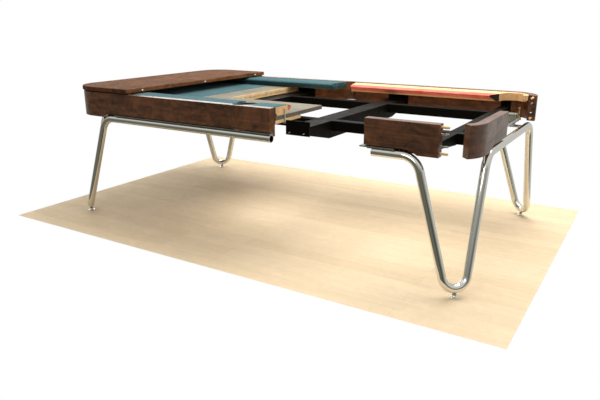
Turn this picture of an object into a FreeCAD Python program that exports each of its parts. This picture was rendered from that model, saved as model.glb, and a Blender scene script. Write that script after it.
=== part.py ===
"""Dining and pool table with a chromed tube leg frame and a lifting top, shown cut open.

The near side and the right end are cut away, so that the steel chassis, the slate and the
joints of the wooden cabinet show. Origin: on the floor at the table's centre. +X runs along
the table, +Y to its uncut side and +Z up. Millimetres.
"""
import FreeCAD, Part
import math
import os
import re
import Sketcher
from FreeCAD import Vector

doc = FreeCAD.newDocument("pool_table")
OUT = "parts"

# ---------------------------------------------------------------- driving dimensions

DIMENSIONS = [
    # cabinet: a ring of upright boards with round corners
    ("half_length", 1166), ("half_width", 639), ("cabinet_top", 721), ("cabinet_bottom", 585),
    ("board", 42), ("corner", 150), ("edge_round", 3),
    ("rabbet_top", 607), ("tongue", 10),
    # where the cabinet is cut open
    ("near_cut", 208), ("segment_start", 689), ("segment_end", 1016), ("end_cut", 150),
    # leg frame: a ring of tube whose corners run down into V legs
    ("tube_radius", 19), ("tube_wall", 2.5), ("ring_level", 578), ("side_line", 628),
    ("end_line", 1155), ("bend_radius", 86), ("leg_along", 924), ("leg_across", 420),
    ("bow_radius", 57), ("foot_along", 1125), ("foot_across", 630), ("bow_level", 41),
    ("stub_along", 840), ("stub_across", 335), ("tube_restart", 726),
    # bars that lie on the side tubes
    ("bar_thick", 6), ("bar_wide", 34), ("bar_restart", 672), ("bar_reach", 830),
    # feet
    ("pad_radius", 19), ("pad_neck", 8), ("pad_rim", 3), ("pad_tall", 11), ("stem_radius", 5),
    ("stem_top", 50), ("stem_bottom", 4.2), ("fit", 0.06), ("locknut_radius", 9),
    ("locknut_low", 13), ("locknut_high", 19),
    # steel chassis
    ("steel_top", 641), ("beam_size", 50), ("beam_inner", 315), ("beam_reach", 1057), ("steel_wall", 3),
    ("cross_at", 333), ("cross_wide", 100), ("cross_low", 557), ("cross_flat", 385),
    ("cross_tip", 605), ("cross_end", 592), ("cross_margin", 14), ("plate_thick", 5),
    ("plate_low", 600), ("plate_high", 668), ("member_at", 984), ("member_wide", 44),
    ("member_tip", 612), ("member_margin", 6), ("screw_radius", 3), ("screw_inset", 12),
    ("screw_level", 613), ("screw_long", 20),
    # lift: a post on the leg frame, a sliding sleeve and a box on the chassis, at four corners
    ("lift_along", 1080), ("lift_across", 340), ("box_long", 46), ("box_wide", 50), ("box_low", 594),
    ("box_high", 640), ("box_wall", 3), ("slide_gap", 1), ("sleeve_wall", 4), ("sleeve_low", 590),
    ("sleeve_high", 636), ("post_high", 635), ("tab_thick", 6), ("tab_inner", 40), ("tab_outer", 14),
    ("tab_start", 1052),
    # height catches
    ("catch_along", 1111), ("catch_thick", 4), ("catch_wide", 34), ("catch_low", 604),
    ("catch_high", 672), ("catch_level", 612), ("prong_wide", 10), ("prong_tall", 26),
    ("catch_rod_radius", 4), ("catch_hub", 7), ("catch_rod_reach", 372), ("ear_thick", 4), ("ear_half", 8),
    # bed: slate, wooden liner and cloth
    ("slate_top", 677), ("slate_thick", 20), ("slate_half_width", 590), ("slate_end", 1102),
    ("slate_cut", 400), ("slate_strip", 150), ("slate_round", 88), ("liner_inner", 366),
    ("liner_board", 120), ("cloth_thick", 0.9), ("cloth_inset", 3), ("cloth_cut", 551),
    ("cloth_half_width", 585),
    ("pocket_radius", 54), ("pocket_gap", 2), ("pocket_wall", 4), ("pocket_low", 643),
    ("pocket_high", 712), ("corner_pocket_along", 1030), ("corner_pocket_across", 503),
    ("side_pocket_across", 520), ("relief_radius", 40), ("relief_across", 585),
    # rails
    ("rail_back", 588), ("rail_top", 719), ("rail_low", 678), ("rail_front", 484),
    ("rail_lip", 474), ("rail_lip_top", 694), ("rail_foot", 478), ("rail_chamfer", 14), ("cloth_room", 2),
    ("nose", 452), ("nose_level", 708), ("nose_half", 5), ("rubber_top", 717),
    ("rubber_low", 696), ("corner_jaw", 921), ("jaw_run", 36), ("side_jaw", 70),
    ("side_jaw_run", 8), ("facing_thick", 3), ("facing_back", 490), ("end_inset", 527),
    ("rail_bolt_radius", 5),
    ("rail_bolt_across", 514), ("rail_bolt_low", 634), ("rail_bolt_high", 706),
    ("rail_bolt_first", 230), ("rail_bolt_middle", 560), ("rail_bolt_last", 880),
    ("end_bolt_along", 1050), ("end_bolt_across", 200), ("wing_low", 692), ("wing_start", 15),
    ("cup_slack", 8), ("rail_gap", 5), ("end_jaw", 394),
    # dining leaf
    ("leaf_low", 726), ("leaf_high", 750), ("leaf_edge", 720), ("leaf_half_width", 644),
    ("leaf_half_length", 1170), ("leaf_round", 5), ("felt_wide", 20), ("felt_inset", 12),
    ("peg_radius", 4), ("peg_out", 9), ("peg_in", 25), ("peg_across", 530), ("peg_level", 737),
    # dowels and bolts in the cabinet's joints
    ("dowel_radius", 6), ("dowel_reach", 33), ("dowel_high", 708), ("dowel_low", 601),
    ("bolt_radius", 4), ("bolt_high", 680), ("bolt_low", 630), ("hole_slack", 0.2),
    # how far cutting shapes run past the wood, and how much of a tube's bend the rabbet clears
    ("cut_past", 20), ("region_past", 50), ("bend_share", 0.75), ("facing_bias", 1.5),
]

sheet = doc.addObject("Spreadsheet::Sheet", "dim")
for row, (alias, value) in enumerate(DIMENSIONS, start=1):
    sheet.set(f"A{row}", alias)
    sheet.set(f"B{row}", str(value))
    sheet.setAlias(f"B{row}", alias)
doc.recompute()

SIGNS = (-1, 1)
ALIASES = {alias for alias, _ in DIMENSIONS}


def size(alias):
    """The value of one cell of the sheet, for the few shapes built in code."""
    return float(sheet.get(alias))


def words(expression):
    """An expression in which plain aliases stand for cells of the sheet."""
    return re.sub("[a-z_]+", lambda found: "dim." + found[0] if found[0] in ALIASES else found[0], expression)


# ---------------------------------------------------------------- makers

made = []


def keep(piece, label):
    """Gives a finished sub-part the label that names its node."""
    piece.Label = label
    made.append(piece)
    return piece


def block(low, high):
    """A box between two corners, each given as three expressions."""
    box = doc.addObject("Part::Box", "block")
    for side, axis, start, end in zip(("Length", "Width", "Height"), "xyz", low, high):
        box.setExpression(side, words(f"({end}) - ({start})"))
        box.setExpression(f"Placement.Base.{axis}", words(start))
    return box


TURN = {
    "X": FreeCAD.Rotation(Vector(0, 1, 0), 90),
    "Y": FreeCAD.Rotation(Vector(1, 0, 0), -90),
    "Z": FreeCAD.Rotation(),
}


def rod(start, axis, radius, length):
    """A cylinder that starts at a point and runs along an axis."""
    cylinder = doc.addObject("Part::Cylinder", "rod")
    cylinder.setExpression("Radius", words(radius))
    cylinder.setExpression("Height", words(length))
    cylinder.Placement.Rotation = TURN[axis]
    for name, value in zip("xyz", start):
        cylinder.setExpression(f"Placement.Base.{name}", words(value))
    return cylinder


def cut(base, tool):
    """One shape less another."""
    result = doc.addObject("Part::Cut", "cut")
    result.Base = base
    result.Tool = tool
    return result


def fuse(shapes):
    """Several shapes joined into one."""
    result = doc.addObject("Part::MultiFuse", "fuse")
    result.Shapes = shapes
    return result


def group(shapes):
    """Several separate solids kept as one object."""
    result = doc.addObject("Part::Compound", "group")
    result.Links = shapes
    return result


def overlap(shapes):
    """What several shapes share."""
    result = doc.addObject("Part::MultiCommon", "common")
    result.Shapes = shapes
    return result


def mirror(source, axis):
    """A copy of a shape on the other side of the table's middle."""
    result = doc.addObject("Part::Mirroring", "mirror")
    result.Source = source
    result.Base = Vector(0, 0, 0)
    result.Normal = Vector(1, 0, 0) if axis == "X" else Vector(0, 1, 0)
    return result


PLANES = {"XY": "XY_Plane", "XZ": "XZ_Plane", "YZ": "YZ_Plane"}


def pad(plane, outline, length, start="0"):
    """A body padded from a sketch of straight lines, its corners given as pairs of expressions."""
    body = doc.addObject("PartDesign::Body", "body")
    sketch = body.newObject("Sketcher::SketchObject", "outline")
    origin = next(f for f in body.Origin.OriginFeatures if f.Role == PLANES[plane])
    sketch.AttachmentSupport = (origin, [""])
    sketch.MapMode = "FlatFace"
    probe = doc.addObject("App::FeaturePython", "probe")
    probe.addProperty("App::PropertyFloat", "value")
    corners = []
    for pair in outline:
        found = []
        for expression in pair:
            probe.setExpression("value", words(expression))
            probe.recompute()
            found.append(probe.value)
        corners.append(Vector(found[0], found[1], 0))
    doc.removeObject(probe.Name)
    count = len(corners)
    for i in range(count):
        sketch.addGeometry(Part.LineSegment(corners[i], corners[(i + 1) % count]))
    for i in range(count):
        sketch.addConstraint(Sketcher.Constraint("Coincident", i, 2, (i + 1) % count, 1))
    for i, pair in enumerate(outline):
        for kind, expression, value in zip(("DistanceX", "DistanceY"), pair, corners[i]):
            number = sketch.addConstraint(Sketcher.Constraint(kind, -1, 1, i, 1, value))
            sketch.setExpression(f"Constraints[{number}]", words(expression))
    feature = body.newObject("PartDesign::Pad", "pad")
    feature.Profile = sketch
    feature.setExpression("Length", words(length))
    body.Tip = feature
    travel = {"XY": "z", "XZ": "y", "YZ": "x"}[plane]
    body.setExpression(f"Placement.Base.{travel}", words(start))
    return body


def shaped(shape):
    """A shape that is built in code, as an object of the document."""
    feature = doc.addObject("Part::Feature", "shape")
    feature.Shape = shape
    return feature


# ---------------------------------------------------------------- leg frame


def bend(before, corner, after, radius):
    """The start, middle and end of an arc that rounds the corner of a path."""
    back = (before - corner).normalize()
    on = (after - corner).normalize()
    half = back.getAngle(on) / 2
    inward = (back + on).normalize()
    centre = corner + inward * (radius / math.sin(half))
    run = radius / math.tan(half)
    return corner + back * run, centre - inward * radius, corner + on * run


def leg_path():
    """Two limbs that hang from the ring and meet in a bow above the foot."""
    ring = size("ring_level")
    side = Vector(size("leg_along"), size("side_line"), ring)
    end = Vector(size("end_line"), size("leg_across"), ring)
    middle = (side + end) * 0.5
    foot = Vector(size("foot_along"), size("foot_across"), size("bow_level"))
    radius = size("bow_radius")
    centre = foot + (middle - foot).normalize() * radius
    across = (end - side).normalize()
    tangents = []
    for top, sense in ((side, 1), (end, -1)):
        reach = centre - top
        lean = math.asin(radius / reach.Length)
        axis = across.cross(reach).normalize()
        limb = FreeCAD.Rotation(axis, math.degrees(lean) * sense).multVec(reach).normalize()
        tangents.append(top + limb * math.sqrt(reach.Length ** 2 - radius ** 2))
    side_stub = Vector(size("stub_along"), size("side_line"), ring)
    end_stub = Vector(size("end_line"), size("stub_across"), ring)
    side_bend = bend(side_stub, side, tangents[0], size("bend_radius"))
    end_bend = bend(tangents[1], end, end_stub, size("bend_radius"))
    edges = [
        Part.makeLine(side_stub, side_bend[0]),
        Part.Arc(*side_bend).toShape(),
        Part.makeLine(side_bend[2], tangents[0]),
        Part.Arc(tangents[0], foot, tangents[1]).toShape(),
        Part.makeLine(tangents[1], end_bend[0]),
        Part.Arc(*end_bend).toShape(),
        Part.makeLine(end_bend[2], end_stub),
    ]
    return Part.Wire(edges), side_stub


def leg_shape():
    """One bent leg tube, bored through, with a hole below for its levelling foot."""
    path, start = leg_path()
    solids = []
    for radius in (size("tube_radius"), size("tube_radius") - size("tube_wall")):
        ring = Part.Wire(Part.makeCircle(radius, start, Vector(1, 0, 0)))
        solids.append(path.makePipeShell([ring], True, False))
    hole = Part.makeCylinder(
        size("stem_radius") + 0.5,
        size("bow_level"),
        Vector(size("foot_along"), size("foot_across"), 0),
    )
    return solids[0].cut(solids[1]).cut(hole)


def straight_tube(start, axis, length):
    """A length of the ring's tube, open through."""
    outer = rod(start, axis, "tube_radius", length)
    inner = rod(start, axis, "tube_radius - tube_wall", length)
    return cut(outer, inner)


leg = keep(shaped(leg_shape()), "far_right_leg")
near_leg = keep(mirror(leg, "Y"), "near_right_leg")
keep(mirror(leg, "X"), "far_left_leg")
keep(mirror(near_leg, "X"), "near_left_leg")

keep(straight_tube(("-stub_along", "side_line", "ring_level"), "X", "2 * stub_along"), "far_side_tube")
near_tubes = [
    straight_tube(("-stub_along", "-side_line", "ring_level"), "X", "stub_along + near_cut"),
    straight_tube(("tube_restart", "-side_line", "ring_level"), "X", "stub_along - tube_restart"),
]
keep(group(near_tubes), "near_side_tubes")
end_tube = keep(
    straight_tube(("end_line", "-stub_across", "ring_level"), "Y", "2 * stub_across"), "right_end_tube"
)
keep(mirror(end_tube, "X"), "left_end_tube")


def mounting_bar(side, start, end):
    """A flat bar that lies along the top of a side tube, under the cabinet's rabbet."""
    inner = "side_line - bar_wide / 2"
    outer = "side_line + bar_wide / 2"
    low, high = (inner, outer) if side > 0 else (f"-({outer})", f"-({inner})")
    base = "ring_level + tube_radius"
    return block((start, low, base), (end, high, f"{base} + bar_thick"))


keep(
    group([
        mounting_bar(1, "-bar_reach", "bar_reach"),
        mounting_bar(-1, "-bar_reach", "near_cut"),
        mounting_bar(-1, "bar_restart", "bar_reach"),
    ]),
    "mounting_bars",
)


def lift_post(side):
    """A tab welded to the end tube, with the square post that guides the lift."""
    low = "lift_across - tab_inner"
    high = "lift_across + tab_outer"
    post = "box_long / 2 - box_wall - sleeve_wall - 2 * slide_gap"
    post_across = "box_wide / 2 - box_wall - sleeve_wall - 2 * slide_gap"
    if side < 0:
        low, high = f"-({high})", f"-({low})"
    level = "ring_level - tab_thick / 2"
    centre = "lift_across" if side > 0 else "-lift_across"
    tab = block(("tab_start", low, level), ("end_line", high, f"{level} + tab_thick"))
    hollow = rod(("end_line", "-leg_across", "ring_level"), "Y", "tube_radius", "2 * leg_across")
    column = block(
        (f"lift_along - ({post})", f"{centre} - ({post_across})", f"{level} + tab_thick"),
        (f"lift_along + ({post})", f"{centre} + ({post_across})", "post_high"),
    )
    return fuse([cut(tab, hollow), column])


right_posts = keep(group([lift_post(side) for side in SIGNS]), "right_lift_posts")
keep(mirror(right_posts, "X"), "left_lift_posts")

# ---------------------------------------------------------------- feet


def foot(along, across):
    """A turned pad and the threaded stem with its lock nut that screws into the leg."""
    x = "foot_along" if along > 0 else "-foot_along"
    y = "foot_across" if across > 0 else "-foot_across"
    rim = rod((x, y, "0"), "Z", "pad_radius", "pad_rim")
    bell = doc.addObject("Part::Cone", "bell")
    bell.setExpression("Radius1", words("pad_radius"))
    bell.setExpression("Radius2", words("pad_neck"))
    bell.setExpression("Height", words("pad_tall - pad_rim"))
    for name, value in zip("xyz", (x, y, "pad_rim")):
        bell.setExpression(f"Placement.Base.{name}", words(value))
    bore = rod((x, y, "stem_bottom - fit"), "Z", "stem_radius + fit", "pad_tall")
    stem = rod((x, y, "stem_bottom"), "Z", "stem_radius", "stem_top - stem_bottom")
    nut = doc.addObject("Part::Prism", "nut")
    nut.Polygon = 6
    nut.setExpression("Circumradius", words("locknut_radius"))
    nut.setExpression("Height", words("locknut_high - locknut_low"))
    for name, value in zip("xyz", (x, y, "locknut_low")):
        nut.setExpression(f"Placement.Base.{name}", words(value))
    return cut(fuse([rim, bell]), bore), fuse([stem, nut])


for along, end_name in zip(SIGNS, ("left", "right")):
    for across, side_name in zip(SIGNS, ("near", "far")):
        foot_pad, foot_stem = foot(along, across)
        keep(foot_pad, f"{side_name}_{end_name}_foot_pad")
        keep(foot_stem, f"{side_name}_{end_name}_foot_stem")

# ---------------------------------------------------------------- lift sleeves, boxes and catches


def lift_shell(side, outer_long, outer_wide, wall, low, high, roof):
    """An upright square tube around the lift's line, open below."""
    centre = "lift_across" if side > 0 else "-lift_across"
    outer = block(
        (f"lift_along - ({outer_long})", f"{centre} - ({outer_wide})", low),
        (f"lift_along + ({outer_long})", f"{centre} + ({outer_wide})", high),
    )
    inner = block(
        (f"lift_along - ({outer_long}) + {wall}", f"{centre} - ({outer_wide}) + {wall}", f"{low} - 1"),
        (f"lift_along + ({outer_long}) - {wall}", f"{centre} + ({outer_wide}) - {wall}", f"{high} {roof}"),
    )
    return cut(outer, inner)


SLEEVE_LONG = "box_long / 2 - box_wall - slide_gap"
SLEEVE_WIDE = "box_wide / 2 - box_wall - slide_gap"
right_sleeves = [
    lift_shell(side, SLEEVE_LONG, SLEEVE_WIDE, "sleeve_wall", "sleeve_low", "sleeve_high", "+ 1")
    for side in SIGNS
]
right_sleeves = keep(group(right_sleeves), "right_lift_sleeves")
keep(mirror(right_sleeves, "X"), "left_lift_sleeves")


def lift_box(side):
    """A zinc-plated box at a beam's end, with two bored ears for the catch rod."""
    shell = lift_shell(side, "box_long / 2", "box_wide / 2", "box_wall", "box_low", "box_high", "- box_wall")
    centre = "lift_across" if side > 0 else "-lift_across"
    ears = [
        block(
            ("lift_along + box_long / 2", f"{centre} + {low}", "catch_level - ear_half"),
            ("catch_along + ear_half", f"{centre} + {low} + ear_thick", "catch_level + ear_half"),
        )
        for low in ("box_wide / 2 - ear_thick", "-box_wide / 2")
    ]
    bore = rod(
        ("catch_along", f"{centre} - box_wide", "catch_level"), "Y", "catch_rod_radius + fit", "2 * box_wide"
    )
    return cut(fuse([shell, *ears]), bore)


right_boxes = [lift_box(side) for side in SIGNS]
right_boxes = keep(group(right_boxes), "right_lift_boxes")
keep(mirror(right_boxes, "X"), "left_lift_boxes")


def catch_lever(side):
    """A brass lever on the catch rod, its top split into two prongs."""
    centre = "lift_across" if side > 0 else "-lift_across"
    plate = block(
        ("catch_along - catch_thick / 2", f"{centre} - catch_wide / 2", "catch_low"),
        ("catch_along + catch_thick / 2", f"{centre} + catch_wide / 2", "catch_high"),
    )
    hub = rod(("catch_along", f"{centre} - catch_wide / 2", "catch_level"), "Y", "catch_hub", "catch_wide")
    split = block(
        ("catch_along - catch_thick", f"{centre} - catch_wide / 2 + prong_wide", "catch_high - prong_tall"),
        ("catch_along + catch_thick", f"{centre} + catch_wide / 2 - prong_wide", "catch_high + 1"),
    )
    bore = rod(
        ("catch_along", f"{centre} - catch_wide", "catch_level"), "Y", "catch_rod_radius", "2 * catch_wide"
    )
    return cut(cut(fuse([plate, hub]), split), bore)


right_levers = keep(group([catch_lever(side) for side in SIGNS]), "right_catch_levers")
keep(mirror(right_levers, "X"), "left_catch_levers")
right_rod = rod(
    ("catch_along", "-catch_rod_reach", "catch_level"), "Y", "catch_rod_radius", "2 * catch_rod_reach"
)
right_rod = keep(right_rod, "right_catch_rod")
keep(mirror(right_rod, "X"), "left_catch_rod")

# ---------------------------------------------------------------- steel chassis


def beam(side):
    """A box-section beam along the table."""
    inner, outer = "beam_inner", "beam_inner + beam_size"
    low, high = (inner, outer) if side > 0 else (f"-({outer})", f"-({inner})")
    outside = block(("-beam_reach", low, "steel_top - beam_size"), ("beam_reach", high, "steel_top"))
    inside = block(
        ("-beam_reach", f"{low} + steel_wall", "steel_top - beam_size + steel_wall"),
        ("beam_reach", f"{high} - steel_wall", "steel_top - steel_wall"),
    )
    return cut(outside, inside)


keep(beam(1), "far_beam")
keep(beam(-1), "near_beam")


def cross_outline(depth, tip, inset):
    """A crossbeam seen along the table: level in the middle, rising to its two tips."""
    edge = f"cross_end{inset}"
    bottom = [
        (f"-({edge})", tip), ("-cross_flat", depth), ("cross_flat", depth), (edge, tip),
    ]
    wall = " - steel_wall" if inset else ""
    return bottom + [(edge, f"steel_top{wall}"), (f"-({edge})", f"steel_top{wall}")]


def crossbeam(at, wide, margin, depth, tip):
    """A welded box across both beams, with an end plate at each tip."""
    start = f"{at} - {wide} / 2"
    body = pad("YZ", cross_outline(depth, tip, ""), wide, start)
    hollow = pad(
        "YZ",
        cross_outline(f"{depth} + steel_wall", f"{tip} + steel_wall", " - steel_wall"),
        f"{wide} - 2 * steel_wall",
        f"{start} + steel_wall",
    )
    seats = []
    for low in ("beam_inner", "-beam_inner - beam_size"):
        seats.append(block(
            (f"{at} - {wide}", low, "steel_top - beam_size"),
            (f"{at} + {wide}", f"{low} + beam_size", "steel_top + 1"),
        ))
    plates = []
    holes = []
    for side in SIGNS:
        low, high = ("cross_end", "cross_end + plate_thick")
        if side < 0:
            low, high = "-cross_end - plate_thick", "-cross_end"
        plates.append(block(
            (f"{at} - {wide} / 2 - {margin}", low, "plate_low"),
            (f"{at} + {wide} / 2 + {margin}", high, "plate_high"),
        ))
        for step in SIGNS:
            across = "cross_end - 1" if side > 0 else "-cross_end - plate_thick - 1"
            holes.append(rod(
                (f"{at} + {step} * ({wide} / 2 - screw_inset)", across, "screw_level"),
                "Y", "screw_radius", "plate_thick + 2",
            ))
    return cut(fuse([cut(cut(body, hollow), fuse(seats)), *plates]), fuse(holes))


right_cross = crossbeam("cross_at", "cross_wide", "cross_margin", "cross_low", "cross_tip")
right_cross = keep(right_cross, "right_crossbeam")
keep(mirror(right_cross, "X"), "left_crossbeam")

# a narrower member of even depth crosses the beams near each end of the table
right_member = crossbeam("member_at", "member_wide", "member_margin", "steel_top - beam_size", "member_tip")
right_member = keep(right_member, "right_end_member")
keep(mirror(right_member, "X"), "left_end_member")


def bracket_screws():
    """The screws that run from the chassis plates into the cabinet's long boards."""
    found = []
    for at, wide in (("cross_at", "cross_wide"), ("member_at", "member_wide")):
        for along in SIGNS:
            for step in SIGNS:
                for side in SIGNS:
                    start = "cross_end" if side > 0 else "-cross_end - screw_long"
                    x = f"{along} * ({at} + {step} * ({wide} / 2 - screw_inset))"
                    found.append(rod((x, start, "screw_level"), "Y", "screw_radius", "screw_long"))
    return found


keep(group(bracket_screws()), "bracket_screws")

# ---------------------------------------------------------------- cabinet


def rounded_block(low, high, radius):
    """A box whose four upright edges are rounded."""
    box = block(low, high)
    doc.recompute()
    result = doc.addObject("Part::Fillet", "rounded")
    result.Base = box
    upright = [
        number for number, edge in enumerate(box.Shape.Edges, start=1)
        if edge.BoundBox.XLength < 0.01 and edge.BoundBox.YLength < 0.01
    ]
    result.Edges = [(number, radius, radius) for number in upright]
    return result


def eased(base, levels, radius):
    """A shape with its level edges at some heights rounded over."""
    doc.recompute()
    result = doc.addObject("Part::Fillet", "eased")
    result.Base = base
    chosen = [
        number for number, edge in enumerate(base.Shape.Edges, start=1)
        if edge.BoundBox.ZLength < 0.01 and min(abs(edge.BoundBox.ZMin - level) for level in levels) < 0.01
    ]
    result.Edges = [(number, radius, radius) for number in chosen]
    return result


def cabinet_ring():
    """The upright ring of the cabinet before it is divided, its edges eased."""
    outer = rounded_block(
        ("-half_length", "-half_width", "cabinet_bottom"),
        ("half_length", "half_width", "cabinet_top"),
        size("corner"),
    )
    inner = rounded_block(
        ("-half_length + board", "-half_width + board", "cabinet_bottom"),
        ("half_length - board", "half_width - board", "cabinet_top"),
        size("corner") - size("board"),
    )
    levels = (size("cabinet_bottom"), size("cabinet_top"))
    return eased(cut(outer, inner), levels, size("edge_round"))


def rabbet():
    """The room for the tube along the cabinet's lower outer edge, with the sweep of its bends."""
    parts = []
    clear = "rabbet_top - ring_level + bend_radius"
    centre = "ring_level - bend_radius"
    for side in SIGNS:
        inner = "half_width - board + tongue"
        reach = "leg_along - bend_share * bend_radius"
        low, high = (inner, "half_width + cut_past")
        if side < 0:
            low, high = ("-half_width - cut_past", f"-({inner})")
        parts.append(block((f"-({reach})", low, "cabinet_bottom - 1"), (reach, high, "rabbet_top")))
        for end in SIGNS:
            parts.append(rod((f"{end} * ({reach})", low, centre), "Y", clear, f"({high}) - ({low})"))
        inner = "half_length - board + tongue"
        reach = "leg_across - bend_share * bend_radius"
        low, high = (inner, "half_length + cut_past")
        if side < 0:
            low, high = ("-half_length - cut_past", f"-({inner})")
        parts.append(block((low, f"-({reach})", "cabinet_bottom - 1"), (high, reach, "rabbet_top")))
        for end in SIGNS:
            parts.append(rod((low, f"{end} * ({reach})", centre), "X", clear, f"({high}) - ({low})"))
    return parts


BOARD_LINE = "half_width - board / 2"
END_LINE = "half_length - board / 2"
JOINTS = [
    ("-half_length + corner", f"-({BOARD_LINE})", "X"),
    ("segment_end", f"-({BOARD_LINE})", "X"),
    ("-half_length + corner", BOARD_LINE, "X"),
    ("half_length - corner", BOARD_LINE, "X"),
    (f"-({END_LINE})", "-half_width + corner", "Y"),
    (f"-({END_LINE})", "half_width - corner", "Y"),
    (END_LINE, "-half_width + corner", "Y"),
    (END_LINE, "half_width - corner", "Y"),
]


def joint_pins(radius, levels, slack):
    """The dowels or bolts that cross every joint between two cabinet boards."""
    reach = f"(dowel_reach + {slack})"
    pins = []
    for x, y, axis in JOINTS:
        start = (f"{x} - {reach}", y) if axis == "X" else (x, f"{y} - {reach}")
        for level in levels:
            pins.append(rod((*start, level), axis, f"{radius} + {slack}", f"2 * {reach}"))
    return pins


DOWEL_LEVELS = ("dowel_high", "dowel_low")
BOLT_LEVELS = ("bolt_high", "bolt_low")
keep(group(joint_pins("dowel_radius", DOWEL_LEVELS, "0")), "cabinet_dowels")
keep(group(joint_pins("bolt_radius", BOLT_LEVELS, "0")), "cabinet_bolts")

pocket_reliefs = [
    rod(("0", f"{side} * relief_across", "plate_low"), "Z", "relief_radius", "cabinet_top") for side in SIGNS
]
pin_holes = joint_pins("dowel_radius", DOWEL_LEVELS, "hole_slack")
pin_holes += joint_pins("bolt_radius", BOLT_LEVELS, "hole_slack")
boards = cut(cabinet_ring(), fuse(rabbet() + pocket_reliefs + pin_holes + bracket_screws()))

ARC_X = "half_length - corner"
ARC_Y = "half_width - corner"
FAR_X = "half_length + region_past"
FAR_Y = "half_width + region_past"


def board_piece(label, low, high):
    """The stretch of the cabinet's ring between two upright planes each way."""
    region = block((*low, "0"), (*high, "cabinet_top + cut_past"))
    return keep(overlap([boards, region]), label)


board_piece("far_panel", (f"-({ARC_X})", "0"), (ARC_X, FAR_Y))
board_piece("near_panel", (f"-({ARC_X})", f"-({FAR_Y})"), ("near_cut", "0"))
board_piece("near_panel_segment", ("segment_start", f"-({FAR_Y})"), ("segment_end", "0"))
board_piece("left_end_panel", (f"-({FAR_X})", f"-({ARC_Y})"), ("0", ARC_Y))
board_piece("right_end_panel", ("0", f"-({ARC_Y})"), (FAR_X, "-end_cut"))
board_piece("near_left_corner", (f"-({FAR_X})", f"-({FAR_Y})"), (f"-({ARC_X})", f"-({ARC_Y})"))
board_piece("far_left_corner", (f"-({FAR_X})", ARC_Y), (f"-({ARC_X})", FAR_Y))
board_piece("far_right_corner", (ARC_X, ARC_Y), (FAR_X, FAR_Y))

half_corner = pad(
    "XY",
    [
        (ARC_X, f"-({ARC_Y})"),
        (f"{ARC_X} + corner + region_past", f"-({ARC_Y}) - corner - region_past"),
        (f"{ARC_X} + corner + region_past", f"-({ARC_Y})"),
    ],
    "cabinet_top + cut_past",
)
keep(overlap([boards, half_corner]), "near_right_corner")

# ---------------------------------------------------------------- bed

CORNER_POCKETS = [(f"{a} * corner_pocket_along", f"{b} * corner_pocket_across") for a in SIGNS for b in SIGNS]
SIDE_POCKETS = [("0", f"{side} * side_pocket_across") for side in SIGNS]
RAIL_BOLTS = [
    ("near_cut", "-rail_bolt_across"), ("-rail_bolt_first", "-rail_bolt_across"),
    ("-rail_bolt_middle", "-rail_bolt_across"), ("-rail_bolt_last", "-rail_bolt_across"),
    ("-rail_bolt_middle", "rail_bolt_across"), ("-rail_bolt_last", "rail_bolt_across"),
    ("-end_bolt_along", "-end_bolt_across"), ("-end_bolt_along", "end_bolt_across"),
]


def pocket_holes(radius):
    """Upright cylinders that clear every pocket."""
    return [rod((x, y, "0"), "Z", radius, "cabinet_top + cut_past") for x, y in CORNER_POCKETS + SIDE_POCKETS]


def bolt_holes(slack):
    """Upright cylinders on the lines of the rail bolts."""
    return [
        rod((x, y, "rail_bolt_low"), "Z", f"rail_bolt_radius + {slack}", "rail_bolt_high - rail_bolt_low")
        for x, y in RAIL_BOLTS
    ]


bed_holes = fuse(pocket_holes("pocket_radius + pocket_gap") + bolt_holes("hole_slack"))


def bed_outline(low, high):
    """The full outline of the bed between two heights."""
    return rounded_block(
        ("-slate_end", "-slate_half_width", low), ("slate_end", "slate_half_width", high), size("slate_round")
    )


SLATE_LOW = "slate_top - slate_thick"
slate_regions = fuse([
    block(("-slate_end", "-slate_half_width", "0"), ("-slate_cut", "slate_half_width", "slate_top")),
    block(("-slate_cut - 1", "-slate_half_width", "0"), ("near_cut", "-slate_strip", "slate_top")),
])
keep(cut(overlap([bed_outline(SLATE_LOW, "slate_top"), slate_regions]), bed_holes), "slate")

liner_regions = fuse([
    block(("-slate_end", "-slate_half_width", "0"), ("near_cut", "-liner_inner", "slate_top")),
    block(("-slate_end", "liner_inner", "0"), ("-slate_cut", "slate_half_width", "slate_top")),
    block(("-slate_end", "-liner_inner", "0"), ("-slate_end + liner_board", "liner_inner", "slate_top")),
    block(("-slate_cut - liner_board", "-liner_inner", "0"), ("-slate_cut", "liner_inner", "slate_top")),
])
keep(cut(overlap([bed_outline("steel_top", SLATE_LOW), liner_regions]), bed_holes), "slate_liner")

CLOTH_TOP = "slate_top + cloth_thick"
cloth_region = block(
    ("-slate_end + cloth_inset", "-cloth_half_width", "slate_top"),
    ("-cloth_cut", "cloth_half_width", CLOTH_TOP),
)
keep(cut(overlap([bed_outline("slate_top", CLOTH_TOP), cloth_region]), bed_holes), "bed_cloth")


def pocket_cup(x, y):
    """A moulded cup that hangs in a pocket hole."""
    outer = rod((x, y, "pocket_low"), "Z", "pocket_radius", "pocket_high - pocket_low")
    inner = rod((x, y, "pocket_low + pocket_wall"), "Z", "pocket_radius - pocket_wall", "cabinet_top")
    return cut(outer, inner)


cups = [pocket_cup("0", "-side_pocket_across")]
cups += [pocket_cup("-corner_pocket_along", f"{side} * corner_pocket_across") for side in SIGNS]
keep(group(cups), "pocket_cups")

# ---------------------------------------------------------------- rails

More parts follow.
